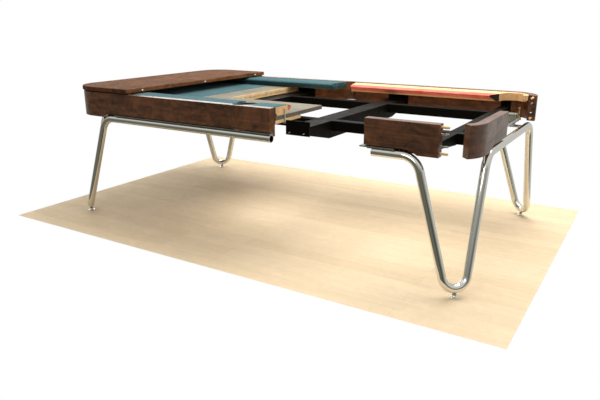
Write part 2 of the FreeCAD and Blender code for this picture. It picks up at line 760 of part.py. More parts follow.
WOOD = [
    ("rail_back", "rail_low + rail_chamfer"), ("rail_back", "rail_top"), ("rail_front", "rail_top"),
    ("rail_front", "rail_lip_top"), ("rail_lip", "rail_lip_top"), ("rail_foot", "rail_low"),
    ("rail_back - rail_chamfer", "rail_low"),
]
RUBBER = [
    ("rail_front", "rubber_top"), ("nose + nose_half", "nose_level + nose_half"), ("nose", "nose_level"),
    ("nose + nose_half", "nose_level - nose_half"), ("rail_front", "rubber_low"),
]
FACING = [
    ("facing_back", "rubber_top"), ("nose + cloth_room", "nose_level + nose_half"),
    ("nose + cloth_room", "nose_level - nose_half"), ("rail_foot", "rail_low + cloth_room"),
    ("facing_back", "rail_low + cloth_room"),
]
CORNER_SLANT = "(jaw_run / (rail_front - nose))"
SIDE_SLANT = "(side_jaw_run / (rail_front - nose))"
DEPTH = "(rail_back - nose)"

rail_room = rounded_block(
    ("-half_length + board + rail_gap", "-half_width + board + rail_gap", "slate_top"),
    ("half_length - board - rail_gap", "half_width - board - rail_gap", "cabinet_top + cut_past"),
    size("corner") - size("board") - size("rail_gap"),
)
rail_holes = fuse(pocket_holes("pocket_radius + pocket_gap + cloth_room") + bolt_holes("hole_slack"))


def side_plan(start, end, end_slant):
    """A far rail seen from above, from its side pocket jaw to its other end."""
    outline = [
        (start, "nose"), (end, "nose"), (f"{end} + {DEPTH} * {end_slant}", "rail_back"),
        (f"{start} - {DEPTH} * {SIDE_SLANT}", "rail_back"),
    ]
    return pad("XY", outline, "cabinet_top")


def side_strip(x, slant, sense):
    """The thin strip beyond a jaw, seen from above, that its facing fills."""
    wide = f"{sense} * facing_bias * facing_thick"
    run = f"(facing_back - nose) * {slant}"
    outline = [
        (x, "nose"), (f"{x} + {wide}", "nose"), (f"{x} + {wide} + {run}", "facing_back"),
        (f"{x} + {run}", "facing_back"),
    ]
    return pad("XY", outline, "cabinet_top")


def side_rail(section, plan):
    """A section carried along the far side and trimmed to a plan."""
    length = pad("YZ", section, "2 * half_length", "-half_length")
    return overlap([length, plan, rail_room])


half_rail = side_rail(WOOD, side_plan("side_jaw", "corner_jaw", CORNER_SLANT))
half_rubber = side_rail(RUBBER, side_plan("side_jaw", "corner_jaw", CORNER_SLANT))
corner_facing = side_rail(FACING, side_strip("corner_jaw", CORNER_SLANT, "1"))
side_facing = side_rail(FACING, side_strip("side_jaw", f"-{SIDE_SLANT}", "-1"))
stub_rail = side_rail(WOOD, side_plan("side_jaw", "near_cut", "0"))
stub_rubber = side_rail(RUBBER, side_plan("side_jaw", "near_cut", "0"))

pocket_clear = rod(
    ("corner_pocket_along", "corner_pocket_across", "0"), "Z",
    "pocket_radius + cup_slack", "cabinet_top + cut_past",
)
WING_START = "corner_jaw + jaw_run"
wing = overlap([
    rail_room,
    fuse([
        block((WING_START, ARC_Y, "wing_low"), ("half_length", "half_width", "rail_top")),
        block(
            ("corner_pocket_along + wing_start", f"{ARC_Y} + region_past", "rail_low"),
            ("half_length", "half_width", "wing_low + 1"),
        ),
    ]),
])
far_right = fuse([cut(half_rail, rail_holes), cut(wing, pocket_clear)])
keep(cut(far_right, corner_facing), "far_right_rail")
left_rail = mirror(half_rail, "X")
keep(cut(left_rail, rail_holes), "far_left_rail")
keep(cut(mirror(left_rail, "Y"), rail_holes), "near_left_rail")
keep(cut(mirror(stub_rail, "Y"), rail_holes), "near_right_rail")


def end_rail(section, outline):
    """A section carried across the right end and trimmed to a plan."""
    moved = [(f"{x} + end_inset", z) for x, z in section]
    length = pad("XZ", moved, "2 * half_width", "half_width")
    return overlap([length, pad("XY", outline, "cabinet_top"), rail_room])


END_PLAN = [
    ("nose + end_inset", "-end_jaw"), ("nose + end_inset", "end_jaw"),
    ("rail_back + end_inset", f"end_jaw + {DEPTH} * {CORNER_SLANT}"),
    ("rail_back + end_inset", f"-end_jaw - {DEPTH} * {CORNER_SLANT}"),
]
END_RUN = f"(facing_back - nose) * {CORNER_SLANT}"
END_STRIP = [
    ("nose + end_inset", "end_jaw"), ("facing_back + end_inset", f"end_jaw + {END_RUN}"),
    ("facing_back + end_inset", f"end_jaw + {END_RUN} + facing_bias * facing_thick"),
    ("nose + end_inset", "end_jaw + facing_bias * facing_thick"),
]
end_wood = cut(mirror(end_rail(WOOD, END_PLAN), "X"), rail_holes)
keep(end_wood, "left_end_rail")
end_rubber = mirror(end_rail(RUBBER, END_PLAN), "X")
end_facing = mirror(end_rail(FACING, END_STRIP), "X")

left_rubber = mirror(half_rubber, "X")
keep(
    group([half_rubber, left_rubber, mirror(left_rubber, "Y"), mirror(stub_rubber, "Y"), end_rubber]),
    "cushion_rubbers",
)
left_corner_facing = mirror(corner_facing, "X")
left_side_facing = mirror(side_facing, "X")
keep(
    group([
        corner_facing, side_facing, left_corner_facing, left_side_facing, mirror(left_corner_facing, "Y"),
        mirror(left_side_facing, "Y"), mirror(side_facing, "Y"), end_facing, mirror(end_facing, "Y"),
    ]),
    "jaw_facings",
)
keep(group(bolt_holes("0")), "rail_bolts")

# ---------------------------------------------------------------- dining leaf


def peg_rods(slack):
    """The pegs in the leaf's inner edge, or the holes that they fill."""
    return [
        rod(("-leaf_edge - peg_in", f"{place} * peg_across", "peg_level"), "X", f"peg_radius + {slack}",
            "peg_in + peg_out")
        for place in (-1, 0, 1)
    ]


leaf_outline = rounded_block(
    ("-leaf_half_length", "-leaf_half_width", "leaf_low"),
    ("leaf_half_length", "leaf_half_width", "leaf_high"),
    size("corner") + size("leaf_half_length") - size("half_length"),
)
leaf_region = block(
    ("-leaf_half_length", "-leaf_half_width", "0"), ("-leaf_edge", "leaf_half_width", "leaf_high")
)
leaf_board = eased(
    overlap([leaf_outline, leaf_region]), (size("leaf_low"), size("leaf_high")), size("leaf_round")
)
keep(cut(leaf_board, fuse(peg_rods("hole_slack"))), "dining_leaf")
keep(group(peg_rods("0")), "leaf_pegs")

felt = [
    block(
        (f"-({ARC_X})", f"{side} * (half_width - felt_inset) - felt_wide * {(1 + side) // 2}", "cabinet_top"),
        ("-leaf_edge - 5", f"{side} * (half_width - felt_inset) + felt_wide * {(1 - side) // 2}", "leaf_low"),
    )
    for side in SIGNS
]
felt.append(block(
    ("-half_length + felt_inset", f"-({ARC_Y})", "cabinet_top"),
    ("-half_length + felt_inset + felt_wide", ARC_Y, "leaf_low"),
))
keep(group(felt), "leaf_felt_strips")

# ---------------------------------------------------------------- checks and export

doc.recompute()
for item in doc.Objects:
    if "Invalid" in item.State or "Error" in item.State:
        raise RuntimeError(f"{item.Name} ({item.Label}) did not build: {item.State}")
for piece in made:
    if piece.Shape.isNull() or not piece.Shape.isValid():
        raise RuntimeError(f"{piece.Label} has no valid shape")

os.makedirs(OUT, exist_ok=True)
for piece in made:
    piece.Shape.exportStep(os.path.join(OUT, piece.Label + ".step"))
    solids = len(piece.Shape.Solids)
    print(f"{piece.Label}: {solids} solids, {piece.Shape.Volume / 1000:.1f} cm3")
print(len(made), "sub-parts")
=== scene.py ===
"""A dining and pool table with a chromed tube frame and a lifting top, shown cut open.

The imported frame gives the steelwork, the boards, the slate and the bare rails. This script adds
the cloth, the rubber, the small turned and threaded pieces and every finish. Metres.
"""
import math
import random
import bmesh
import bpy
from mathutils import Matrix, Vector


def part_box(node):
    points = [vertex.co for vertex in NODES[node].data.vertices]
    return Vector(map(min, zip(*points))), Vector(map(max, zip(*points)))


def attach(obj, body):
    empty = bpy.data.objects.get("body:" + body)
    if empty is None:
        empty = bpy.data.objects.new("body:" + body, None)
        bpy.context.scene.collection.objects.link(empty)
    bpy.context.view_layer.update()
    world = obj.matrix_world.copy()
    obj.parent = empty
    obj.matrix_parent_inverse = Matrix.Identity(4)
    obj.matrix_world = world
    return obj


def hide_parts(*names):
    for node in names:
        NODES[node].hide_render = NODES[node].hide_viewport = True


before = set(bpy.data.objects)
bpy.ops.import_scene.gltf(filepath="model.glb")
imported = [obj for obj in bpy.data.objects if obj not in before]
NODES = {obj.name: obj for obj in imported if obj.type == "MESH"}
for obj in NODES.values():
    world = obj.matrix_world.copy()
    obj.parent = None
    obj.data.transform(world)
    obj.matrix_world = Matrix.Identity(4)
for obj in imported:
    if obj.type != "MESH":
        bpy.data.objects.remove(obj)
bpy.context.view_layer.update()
SCENE = bpy.context.scene
SIGNS = (-1, 1)

# ------------ camera

CAMERA_AT = (1.752, -2.879, 1.124)
CAMERA_TURN = (72.76, 0.0, 31.63)
CAMERA_LENS = 35.44


def add_camera():
    """The one camera, level with a standing visitor beside the table's cut corner."""
    data = bpy.data.cameras.new("camera")
    data.sensor_width = 36.0
    data.lens = CAMERA_LENS
    camera = bpy.data.objects.new("camera", data)
    camera.location = CAMERA_AT
    camera.rotation_euler = [math.radians(angle) for angle in CAMERA_TURN]
    SCENE.collection.objects.link(camera)
    SCENE.camera = camera


add_camera()

# ------------ sizes taken from the frame


def low(node):
    """The lowest corner of a node."""
    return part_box(node)[0]


def high(node):
    """The highest corner of a node."""
    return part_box(node)[1]


RAIL_BACK = high("far_left_rail").y
RAIL_LIP = low("far_left_rail").y
RAIL_TOP = high("far_left_rail").z
RAIL_LOW = low("far_left_rail").z
RUBBER_BACK = high("cushion_rubbers").y
RUBBER_TOP = high("cushion_rubbers").z
RUBBER_LOW = low("cushion_rubbers").z
NOSE_REACH, NOSE_DROP = 0.032, 0.009
NOSE = RUBBER_BACK - NOSE_REACH
NOSE_LEVEL = RUBBER_TOP - NOSE_DROP
CORNER_JAW = 0.921
SIDE_JAW = 0.070
END_JAW = 0.394
CORNER_SLANT = 36 / 32
SIDE_SLANT = 8 / 32
END_INSET = -low("left_end_rail").x - RAIL_BACK
NEAR_CUT = high("near_panel").x
FACING_BACK = 0.490
FACING_RUN = 0.0045
BOARD = high("near_panel").y - low("near_panel").y
SLATE_LOW, SLATE_TOP = low("slate").z, high("slate").z
SLATE_CUT = -0.400
SLATE_STRIP = 0.150
CUP_LOW, CUP_TOP = low("pocket_cups").z, high("pocket_cups").z
CUP_RADIUS = high("pocket_cups").x
CORNER_POCKET = (-low("pocket_cups").x - CUP_RADIUS, high("pocket_cups").y - CUP_RADIUS)
SIDE_POCKET = -low("pocket_cups").y - CUP_RADIUS

# ------------ mesh makers


def skin(bm, rings, caps=True, loop=True):
    """Joins a row of equal rings of points with faces, and closes the two ends."""
    rows = [[bm.verts.new(point) for point in ring] for ring in rings]
    for first, second in zip(rows, rows[1:]):
        count = len(first)
        for i in range(count if loop else count - 1):
            j = (i + 1) % count
            bm.faces.new((first[i], first[j], second[j], second[i]))
    if caps:
        bm.faces.new(rows[0][::-1])
        bm.faces.new(rows[-1])
    return rows


AXES = {
    "X": (Vector((0, 1, 0)), Vector((0, 0, 1)), Vector((1, 0, 0))),
    "Y": (Vector((0, 0, 1)), Vector((1, 0, 0)), Vector((0, 1, 0))),
    "Z": (Vector((1, 0, 0)), Vector((0, 1, 0)), Vector((0, 0, 1))),
}


def turned(bm, start, axis, profile, sides=32, relief=None):
    """A turned shape whose profile is pairs of distance along the axis and radius."""
    side, up, along = AXES[axis]
    rings = []
    for distance, radius in profile:
        ring = []
        for k in range(sides):
            angle = 2 * math.pi * k / sides
            reach = radius * (relief(angle, distance) if relief else 1)
            out = side * math.cos(angle) + up * math.sin(angle)
            ring.append(Vector(start) + along * distance + out * reach)
        rings.append(ring)
    skin(bm, rings)


THREAD_DEPTH = 0.12
ROWS_A_TURN = 6
END_EASE = 0.0012
END_SHARE = 0.72


def threaded(bm, start, axis, radius, length, pitch=0.0015, point=0.0):
    """A rod with a helical thread, its ends eased or drawn out to a point."""
    def groove(angle, distance):
        return 1 - THREAD_DEPTH * (0.5 - 0.5 * math.cos(2 * math.pi * distance / pitch - angle))

    steps = max(8, int(length / pitch * ROWS_A_TURN))
    profile = []
    for i in range(steps + 1):
        distance = length * i / steps
        ease = min(1.0, END_SHARE + min(distance, length - distance) / END_EASE * (1 - END_SHARE))
        if point and distance > length - point:
            ease = max(0.06, (length - distance) / point)
        profile.append((distance, radius * ease))
    turned(bm, start, axis, profile, sides=16, relief=groove)


def washer(bm, start, inner, outer, thick):
    """A flat washer."""
    turned(bm, start, "Z", [(0.0, inner), (0.0, outer), (thick, outer), (thick, inner)])


def hexagon(bm, start, axis, radius, height):
    """A nut or bolt head with its corners turned off."""
    ease, face = height * 0.14, radius * 0.88
    profile = [(0, face), (ease, radius), (height - ease, radius), (height, face)]
    turned(bm, start, axis, profile, sides=6)


def rounded(corners, closed=True, steps=4):
    """An outline whose corners, each (across, height, radius), are rounded."""
    points = []
    count = len(corners)
    for i, (across, height, radius) in enumerate(corners):
        here = Vector((across, height))
        if radius == 0 or (not closed and i in (0, count - 1)):
            points.append(here)
            continue
        back = Vector(corners[i - 1][:2]) - here
        on = Vector(corners[(i + 1) % count][:2]) - here
        run = min(radius / math.tan(back.angle(on) / 2), 0.45 * min(back.length, on.length))
        start = here + back.normalized() * run
        end = here + on.normalized() * run
        for k in range(steps + 1):
            share = k / steps
            points.append(start * (1 - share) ** 2 + here * (2 * share * (1 - share)) + end * share ** 2)
    return points


def add_piece(name, bm, material, body, stands_for=(), crease=35):
    """Makes one shown object and says what it rides on, stands for and is finished in."""
    bmesh.ops.remove_doubles(bm, verts=bm.verts, dist=1e-6)
    mesh = bpy.data.meshes.new(name)
    bm.to_mesh(mesh)
    bm.free()
    return dress(name, mesh, material, body, stands_for, crease)


def dress(name, mesh, material, body, stands_for=(), crease=35):
    """Puts a finished mesh on its body."""
    mesh.materials.append(material)
    for face in mesh.polygons:
        face.use_smooth = True
    mesh.set_sharp_from_angle(angle=math.radians(crease))
    piece = bpy.data.objects.new(name, mesh)
    SCENE.collection.objects.link(piece)
    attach(piece, body)
    if stands_for:
        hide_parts(*stands_for)
    return piece


def solid(bm):
    """Turns every face of a closed mesh outwards."""
    bmesh.ops.recalc_face_normals(bm, faces=bm.faces)
    return bm


# ------------ node helpers


def add_node(tree, kind, inputs=None, **settings):
    """Adds a shader node, sets it up, and joins or fills its inputs."""
    node = tree.nodes.new("ShaderNode" + kind)
    for name, value in settings.items():
        setattr(node, name, value)
    for name, value in (inputs or {}).items():
        if isinstance(value, bpy.types.NodeSocket):
            tree.links.new(value, node.inputs[name])
        else:
            node.inputs[name].default_value = value
    return node


def maths(tree, operation, first, second=0.0):
    """The result of one sum on two values."""
    node = add_node(tree, "Math", {0: first, 1: second}, operation=operation)
    return node.outputs[0]


def times(tree, first, second):
    """The product of two values."""
    return maths(tree, "MULTIPLY", first, second)


def spread(tree, value, start, end, to_start=0.0, to_end=1.0):
    """A value moved from one range to another and held there."""
    sockets = {"Value": value, "From Min": start, "From Max": end, "To Min": to_start, "To Max": to_end}
    return add_node(tree, "MapRange", sockets).outputs[0]


def blended(tree, share, first, second, blend_type="MIX"):
    """Two colours mixed by a share."""
    node = add_node(tree, "Mix", data_type="RGBA", blend_type=blend_type)
    for socket, value in zip((node.inputs[0], node.inputs[6], node.inputs[7]), (share, first, second)):
        if isinstance(value, bpy.types.NodeSocket):
            tree.links.new(value, socket)
        elif socket.type == "RGBA":
            socket.default_value = (*value, 1.0)
        else:
            socket.default_value = value
    return node.outputs[2]


def noise(tree, vector, scale, detail=3.0, rough=0.5, distortion=0.0):
    """A noise value around a half."""
    sockets = {"Vector": vector, "Scale": scale, "Detail": detail, "Roughness": rough}
    return add_node(tree, "TexNoise", {**sockets, "Distortion": distortion}).outputs["Fac"]


def object_place(tree):
    """Where a point is on its own object."""
    return add_node(tree, "TexCoord").outputs["Object"]


def drawn_out(tree, place, given):
    """A place drawn out by a group's stretch."""
    sockets = {0: place, 1: given["Stretch"]}
    return add_node(tree, "VectorMath", sockets, operation="MULTIPLY").outputs[0]


def new_group(name, inputs, outputs):
    """An empty shader group, the values it is given and its output."""
    tree = bpy.data.node_groups.new(name, "ShaderNodeTree")
    for label, kind, value in inputs:
        socket = tree.interface.new_socket(label, in_out="INPUT", socket_type="NodeSocket" + kind)
        socket.default_value = value
    for label, kind in outputs:
        tree.interface.new_socket(label, in_out="OUTPUT", socket_type="NodeSocket" + kind)
    return tree, tree.nodes.new("NodeGroupInput").outputs, tree.nodes.new("NodeGroupOutput")


def give(tree, node, **values):
    """Joins values to the inputs of a shader or of a group's output."""
    for label, value in values.items():
        tree.links.new(value, node.inputs[label.replace("_", " ")])


# ------------ shared groups


def make_wood_grain():
    """Long fibres, pores and cloudy figure, drawn out along a board."""
    tree, given, out = new_group(
        "wood_grain",
        [("Stretch", "Vector", (1, 1, 1)), ("Dark", "Color", (0, 0, 0, 1)), ("Light", "Color", (1, 1, 1, 1)),
         ("Cloud", "Float", 0.3)],
        [("Color", "Color"), ("Height", "Float"), ("Pores", "Float")],
    )
    place = object_place(tree)
    drawn = drawn_out(tree, place, given)
    figure = noise(tree, drawn, 1.0, 5.0, 0.55, 0.9)
    fibre = noise(tree, drawn, 5.0, 6.0, 0.65, 0.3)
    pores = spread(tree, noise(tree, drawn, 22.0, 2.0, 0.5), 0.56, 0.70)
    cloud = noise(tree, place, 7.0, 4.0, 0.6, 0.4)
    blotch = noise(tree, place, 13.0, 5.0, 0.6, 1.4)
    share = maths(tree, "ADD", times(tree, figure, 0.40), times(tree, fibre, 0.18))
    share = maths(tree, "ADD", share, times(tree, blotch, 0.42))
    share = spread(tree, share, 0.38, 0.62)
    colour = blended(tree, share, given["Dark"], given["Light"])
    shade = times(tree, maths(tree, "SUBTRACT", cloud, 0.5), given["Cloud"])
    shade = maths(tree, "ADD", times(tree, shade, 4.0), 1.0)
    grey = add_node(tree, "CombineXYZ", {"X": shade, "Y": shade, "Z": shade}).outputs[0]
    colour = blended(tree, 1.0, colour, grey, "MULTIPLY")
    dark_pores = times(tree, pores, 0.35)
    colour = blended(tree, dark_pores, colour, (0.0, 0.0, 0.0))
    height = maths(tree, "SUBTRACT", times(tree, fibre, 0.5), times(tree, pores, 0.4))
    give(tree, out, Color=colour, Height=height, Pores=pores)
    return tree


def make_edge_wear():
    """A mask that is high where an edge has been rubbed."""
    tree, given, out = new_group(
        "edge_wear", [("Radius", "Float", 0.002), ("Amount", "Float", 0.5)], [("Mask", "Float")]
    )
    soft = add_node(tree, "Bevel", {"Radius": given["Radius"]}, samples=4).outputs[0]
    true = add_node(tree, "NewGeometry").outputs["Normal"]
    turn = add_node(tree, "VectorMath", {0: soft, 1: true}, operation="DOT_PRODUCT").outputs["Value"]
    edge = spread(tree, turn, 0.99, 0.80)
    place = object_place(tree)
    broken = spread(tree, noise(tree, place, 45.0, 4.0, 0.7), 0.38, 0.62)
    mask = times(tree, edge, broken)
    give(tree, out, Mask=times(tree, mask, given["Amount"]))
    return tree


def make_mottle():
    """A cloudy value between two limits, for colour, dust and gloss that vary."""
    tree, given, out = new_group(
        "mottle",
        [("Scale", "Float", 10.0), ("Low", "Float", 0.0), ("High", "Float", 1.0), ("Detail", "Float", 5.0)],
        [("Value", "Float")],
    )
    place = object_place(tree)
    cloud = noise(tree, place, given["Scale"], given["Detail"], 0.6)
    give(tree, out, Value=spread(tree, cloud, 0.32, 0.68, given["Low"], given["High"]))
    return tree


def make_weave():
    """The crossing threads and nap of a napped cloth."""
    tree, given, out = new_group(
        "weave", [("Threads", "Float", 700.0), ("Nap", "Float", 0.5)],
        [("Height", "Float"), ("Shade", "Float")],
    )
    place = object_place(tree)
    parts = add_node(tree, "SeparateXYZ", {0: place}).outputs
    turn = times(tree, given["Threads"], 2 * math.pi)
    warp = maths(tree, "SINE", times(tree, parts[0], turn))
    across = maths(tree, "ADD", parts[1], parts[2])
    weft = maths(tree, "SINE", times(tree, across, turn))
    threads = times(tree, warp, weft)
    nap = times(tree, noise(tree, place, 900.0, 2.0, 0.7), given["Nap"])
    give(
        tree, out,
        Height=maths(tree, "ADD", times(tree, threads, 0.3), nap),
        Shade=spread(tree, noise(tree, place, 60.0, 6.0, 0.75), 0.3, 0.7),
    )
    return tree


def make_drawn_marks():
    """Fine parallel marks left by drawing or brushing metal."""
    tree, given, out = new_group(
        "drawn_marks", [("Stretch", "Vector", (1, 1, 1))], [("Height", "Float"), ("Value", "Float")]
    )
    place = object_place(tree)
    drawn = drawn_out(tree, place, given)
    marks = noise(tree, drawn, 1.0, 4.0, 0.7)
    give(tree, out, Height=marks, Value=spread(tree, marks, 0.3, 0.7))
    return tree


WOOD_GRAIN = make_wood_grain()
EDGE_WEAR = make_edge_wear()
MOTTLE = make_mottle()
WEAVE = make_weave()
DRAWN_MARKS = make_drawn_marks()


# ------------ finishes


def srgb(red, green, blue):
    """A display colour, 0 to 255, as the light values that a shader takes."""
    def channel(value):
        value /= 255
        return value / 12.92 if value <= 0.04045 else ((value + 0.055) / 1.055) ** 2.4
    return (channel(red), channel(green), channel(blue))


def new_material(name, colour, **sockets):
    """A material with a Principled shader, its plain sockets set, and its tree."""
    material = bpy.data.materials.new(name)
    material.use_nodes = True
    tree = material.node_tree
    shader = tree.nodes["Principled BSDF"]
    shader.inputs["Base Color"].default_value = (*colour, 1.0)
    for label, value in sockets.items():
        shader.inputs[label.replace("_", " ")].default_value = value
    material.diffuse_color = (*colour, 1.0)
    return material, tree, shader


def use_group(tree, group, **values):
    """A shared group placed in a material, with its own values."""
    node = tree.nodes.new("ShaderNodeGroup")
    node.node_tree = group
    for label, value in values.items():
        node.inputs[label].default_value = value
    return node.outputs


def mottle(tree, scale, least, most, detail=5.0):
    """The mottle group's cloudy value between two limits."""
    return use_group(tree, MOTTLE, Scale=scale, Low=least, High=most, Detail=detail)["Value"]


def bump(tree, shader, height, distance, strength=1.0):
    """Raises a surface by a height value."""
    sockets = {"Height": height, "Distance": distance, "Strength": strength}
    give(tree, shader, Normal=add_node(tree, "Bump", sockets).outputs[0])


def wood(name, stretch, dark, light, cloud, gloss, worn=None, coat=0.0, shine=0.4):
    """A wood cut along one direction, bare or lacquered."""
    material, tree, shader = new_material(name, light, Coat_Roughness=0.22, Specular_IOR_Level=shine)
    shader.inputs["Coat Weight"].default_value = coat
    grain = use_group(tree, WOOD_GRAIN, Stretch=stretch, Dark=(*dark, 1), Light=(*light, 1), Cloud=cloud)
    colour = grain["Color"]
    if worn:
        mask = use_group(tree, EDGE_WEAR, Radius=0.0025, Amount=0.6)["Mask"]
        colour = blended(tree, mask, colour, worn)
    give(tree, shader, Base_Color=colour)
    sheen = mottle(tree, 14.0, gloss[0], gloss[1])
    rough = maths(tree, "ADD", sheen, times(tree, grain["Pores"], 0.25))
    give(tree, shader, Roughness=rough)
    bump(tree, shader, grain["Height"], 0.0004, 0.5)
    return material


WALNUT_DARK = srgb(46, 27, 14)
WALNUT_LIGHT = srgb(128, 80, 50)
WALNUT_WORN = srgb(176, 128, 92)
# The leaf's walnut, its dark tone lifted above the cabinet's: painted light for the light that falls on the
# leaf's top.
PAINTED_LIT_LEAF_DARK = srgb(70, 44, 27)
PAINTED_LIT_LEAF_LIGHT = srgb(122, 80, 50)
PALE_DARK = srgb(226, 178, 120)
PALE_LIGHT = srgb(250, 220, 170)
PEACH_DARK = srgb(232, 176, 116)
PEACH_LIGHT = srgb(252, 212, 160)
ALONG_X = (4.0, 38.0, 38.0)
ALONG_Y = (38.0, 4.0, 38.0)
ROUND_CORNER = (8.0, 8.0, 38.0)


def walnut(name, stretch):
    """Dark lacquered walnut for the cabinet."""
    return wood(name, stretch, WALNUT_DARK, WALNUT_LIGHT, 0.30, (0.30, 0.46), WALNUT_WORN, coat=0.3)


def chrome():
    """Polished chromium plate with faint wipe marks."""
    material, tree, shader = new_material("chromium_plate", srgb(225, 225, 218), Metallic=1.0)
    give(tree, shader, Roughness=mottle(tree, 30.0, 0.045, 0.11))
    bump(tree, shader, mottle(tree, 9.0, 0.0, 1.0), 0.0002, 0.25)
    return material


def black_paint():
    """Black powder coat over rolled steel, rubbed grey on its edges."""
    material, tree, shader = new_material("black_powder_coat", srgb(18, 16, 12), Specular_IOR_Level=0.05)
    dust = mottle(tree, 6.0, 0.0, 0.22)
    colour = blended(tree, dust, srgb(10, 9, 7), srgb(24, 22, 16))
    mask = use_group(tree, EDGE_WEAR, Radius=0.002, Amount=0.7)["Mask"]
    give(tree, shader, Base_Color=blended(tree, mask, colour, srgb(92, 90, 80)))
    give(tree, shader, Roughness=mottle(tree, 20.0, 0.42, 0.60))
    bump(tree, shader, mottle(tree, 420.0, 0.0, 1.0), 0.00012, 0.5)
    return material


def bright_metal(name, colour, dull, stretch, rough):
    """A drawn, plated or rolled metal with marks along it."""
    material, tree, shader = new_material(name, colour, Metallic=1.0)
    marks = use_group(tree, DRAWN_MARKS, Stretch=stretch)
    give(tree, shader, Base_Color=blended(tree, mottle(tree, 35.0, 0.0, 0.7), colour, dull))
    give(tree, shader, Roughness=spread(tree, marks["Value"], 0.0, 1.0, *rough))
    bump(tree, shader, marks["Height"], 0.0001, 0.4)
    return material


def honed_slate():
    """Honed slate with pale dust, faint bedding and roughened cut faces, which are painted darker than the
    top as painted shade.
    """
    material, tree, shader = new_material("honed_slate", srgb(165, 155, 135), Specular_IOR_Level=0.35)
    cloud = mottle(tree, 5.0, 0.0, 1.0)
    colour = blended(tree, cloud, srgb(108, 102, 88), srgb(132, 125, 107))
    speck = mottle(tree, 160.0, 0.0, 0.3, 8.0)
    colour = blended(tree, speck, colour, srgb(100, 96, 87))
    bedding = use_group(tree, DRAWN_MARKS, Stretch=(4.0, 4.0, 700.0))
    # Faces that stand upright take a darker colour than the top: painted shade on the slate's cut sides, with
    # the bedding layers running through it.
    normal = add_node(tree, "SeparateXYZ", {0: add_node(tree, "NewGeometry").outputs["Normal"]}).outputs
    face = spread(tree, maths(tree, "ABSOLUTE", normal[2]), 0.9, 0.4)
    shaded_bedding = blended(tree, bedding["Value"], srgb(86, 82, 72), srgb(124, 118, 104))
    give(tree, shader, Base_Color=blended(tree, face, colour, shaded_bedding))
    give(tree, shader, Roughness=mottle(tree, 12.0, 0.55, 0.75))
    rough_edge = times(tree, bedding["Height"], face)
    grit = mottle(tree, 500.0, 0.0, 0.15)
    bump(tree, shader, maths(tree, "ADD", rough_edge, grit), 0.0008, 0.6)
    return material


def billiard_cloth():
    """Blue-green worsted cloth."""
    material, tree, shader = new_material(
        "billiard_cloth", srgb(45, 84, 91), Sheen_Weight=0.15, Sheen_Roughness=0.45, Specular_IOR_Level=0.2
    )
    shader.inputs["Sheen Tint"].default_value = (0.70, 0.86, 0.90, 1.0)
    cloth = use_group(tree, WEAVE, Threads=900.0, Nap=0.9)
    colour = blended(tree, cloth["Shade"], srgb(36, 74, 81), srgb(54, 95, 102))
    chalk = mottle(tree, 7.0, 0.0, 0.16)
    give(tree, shader, Base_Color=blended(tree, chalk, colour, srgb(122, 150, 154)))
    give(tree, shader, Roughness=mottle(tree, 40.0, 0.82, 0.95))
    bump(tree, shader, cloth["Height"], 0.0003, 0.5)
    return material


def dark_felt():
    """Dark felt strip."""
    material, tree, shader = new_material(
        "dark_felt", srgb(34, 30, 28), Sheen_Weight=0.3, Sheen_Roughness=0.6
    )
    felt = use_group(tree, WEAVE, Threads=300.0, Nap=1.6)
    give(tree, shader, Base_Color=blended(tree, felt["Shade"], srgb(24, 22, 21), srgb(52, 46, 42)))
    give(tree, shader, Roughness=mottle(tree, 90.0, 0.9, 1.0))
    bump(tree, shader, felt["Height"], 0.0006, 0.8)
    return material


def rubber(name, dark, light, bloom, rough):
    """Moulded rubber with a dusty bloom."""
    material, tree, shader = new_material(name, light, Specular_IOR_Level=0.3)
    colour = blended(tree, mottle(tree, 18.0, 0.0, 1.0), dark, light)
    dust = mottle(tree, 5.0, 0.0, 0.3)
    give(tree, shader, Base_Color=blended(tree, dust, colour, bloom))
    give(tree, shader, Roughness=mottle(tree, 60.0, rough[0], rough[1]))
    bump(tree, shader, mottle(tree, 700.0, 0.0, 1.0), 0.00015, 0.5)
    return material


def nylon():
    """White nylon."""
    material, tree, shader = new_material("white_nylon", srgb(240, 238, 230), Specular_IOR_Level=0.5)
    shader.inputs["Subsurface Weight"].default_value = 0.1
    shade = mottle(tree, 80.0, 0.0, 0.4)
    give(tree, shader, Base_Color=blended(tree, shade, srgb(246, 244, 236), srgb(222, 218, 204)))
    give(tree, shader, Roughness=mottle(tree, 200.0, 0.28, 0.42))
    return material


WALNUT_X = walnut("walnut_long_board", ALONG_X)
WALNUT_Y = walnut("walnut_end_board", ALONG_Y)
WALNUT_CORNER = walnut("walnut_corner", ROUND_CORNER)
# The leaf takes the lighter walnut colours above, painted light for its lit top.
WALNUT_LEAF = wood("walnut_leaf_painted_light", ALONG_Y, PAINTED_LIT_LEAF_DARK, PAINTED_LIT_LEAF_LIGHT, 0.28, (0.62, 0.76), WALNUT_WORN, shine=0.06)
PALE_X = wood("liner_pine", ALONG_X, PALE_DARK, PALE_LIGHT, 0.08, (0.55, 0.7))
PEACH_X = wood("rail_poplar_long", ALONG_X, PEACH_DARK, PEACH_LIGHT, 0.08, (0.5, 0.66))
PEACH_Y = wood("rail_poplar_end", ALONG_Y, PEACH_DARK, PEACH_LIGHT, 0.08, (0.5, 0.66))
DOWEL_WOOD = wood("beech_dowel", (40.0, 40.0, 40.0), PEACH_DARK, PALE_LIGHT, 0.06, (0.5, 0.66))
CHROME = chrome()
BLACK_PAINT = black_paint()
STEEL = bright_metal(
    "drawn_steel", srgb(178, 178, 172), srgb(130, 130, 124), (20.0, 400.0, 400.0), (0.28, 0.42)
)
ZINC = bright_metal(
    "zinc_plate", srgb(196, 198, 192), srgb(150, 154, 150), (90.0, 90.0, 90.0), (0.26, 0.46)
)
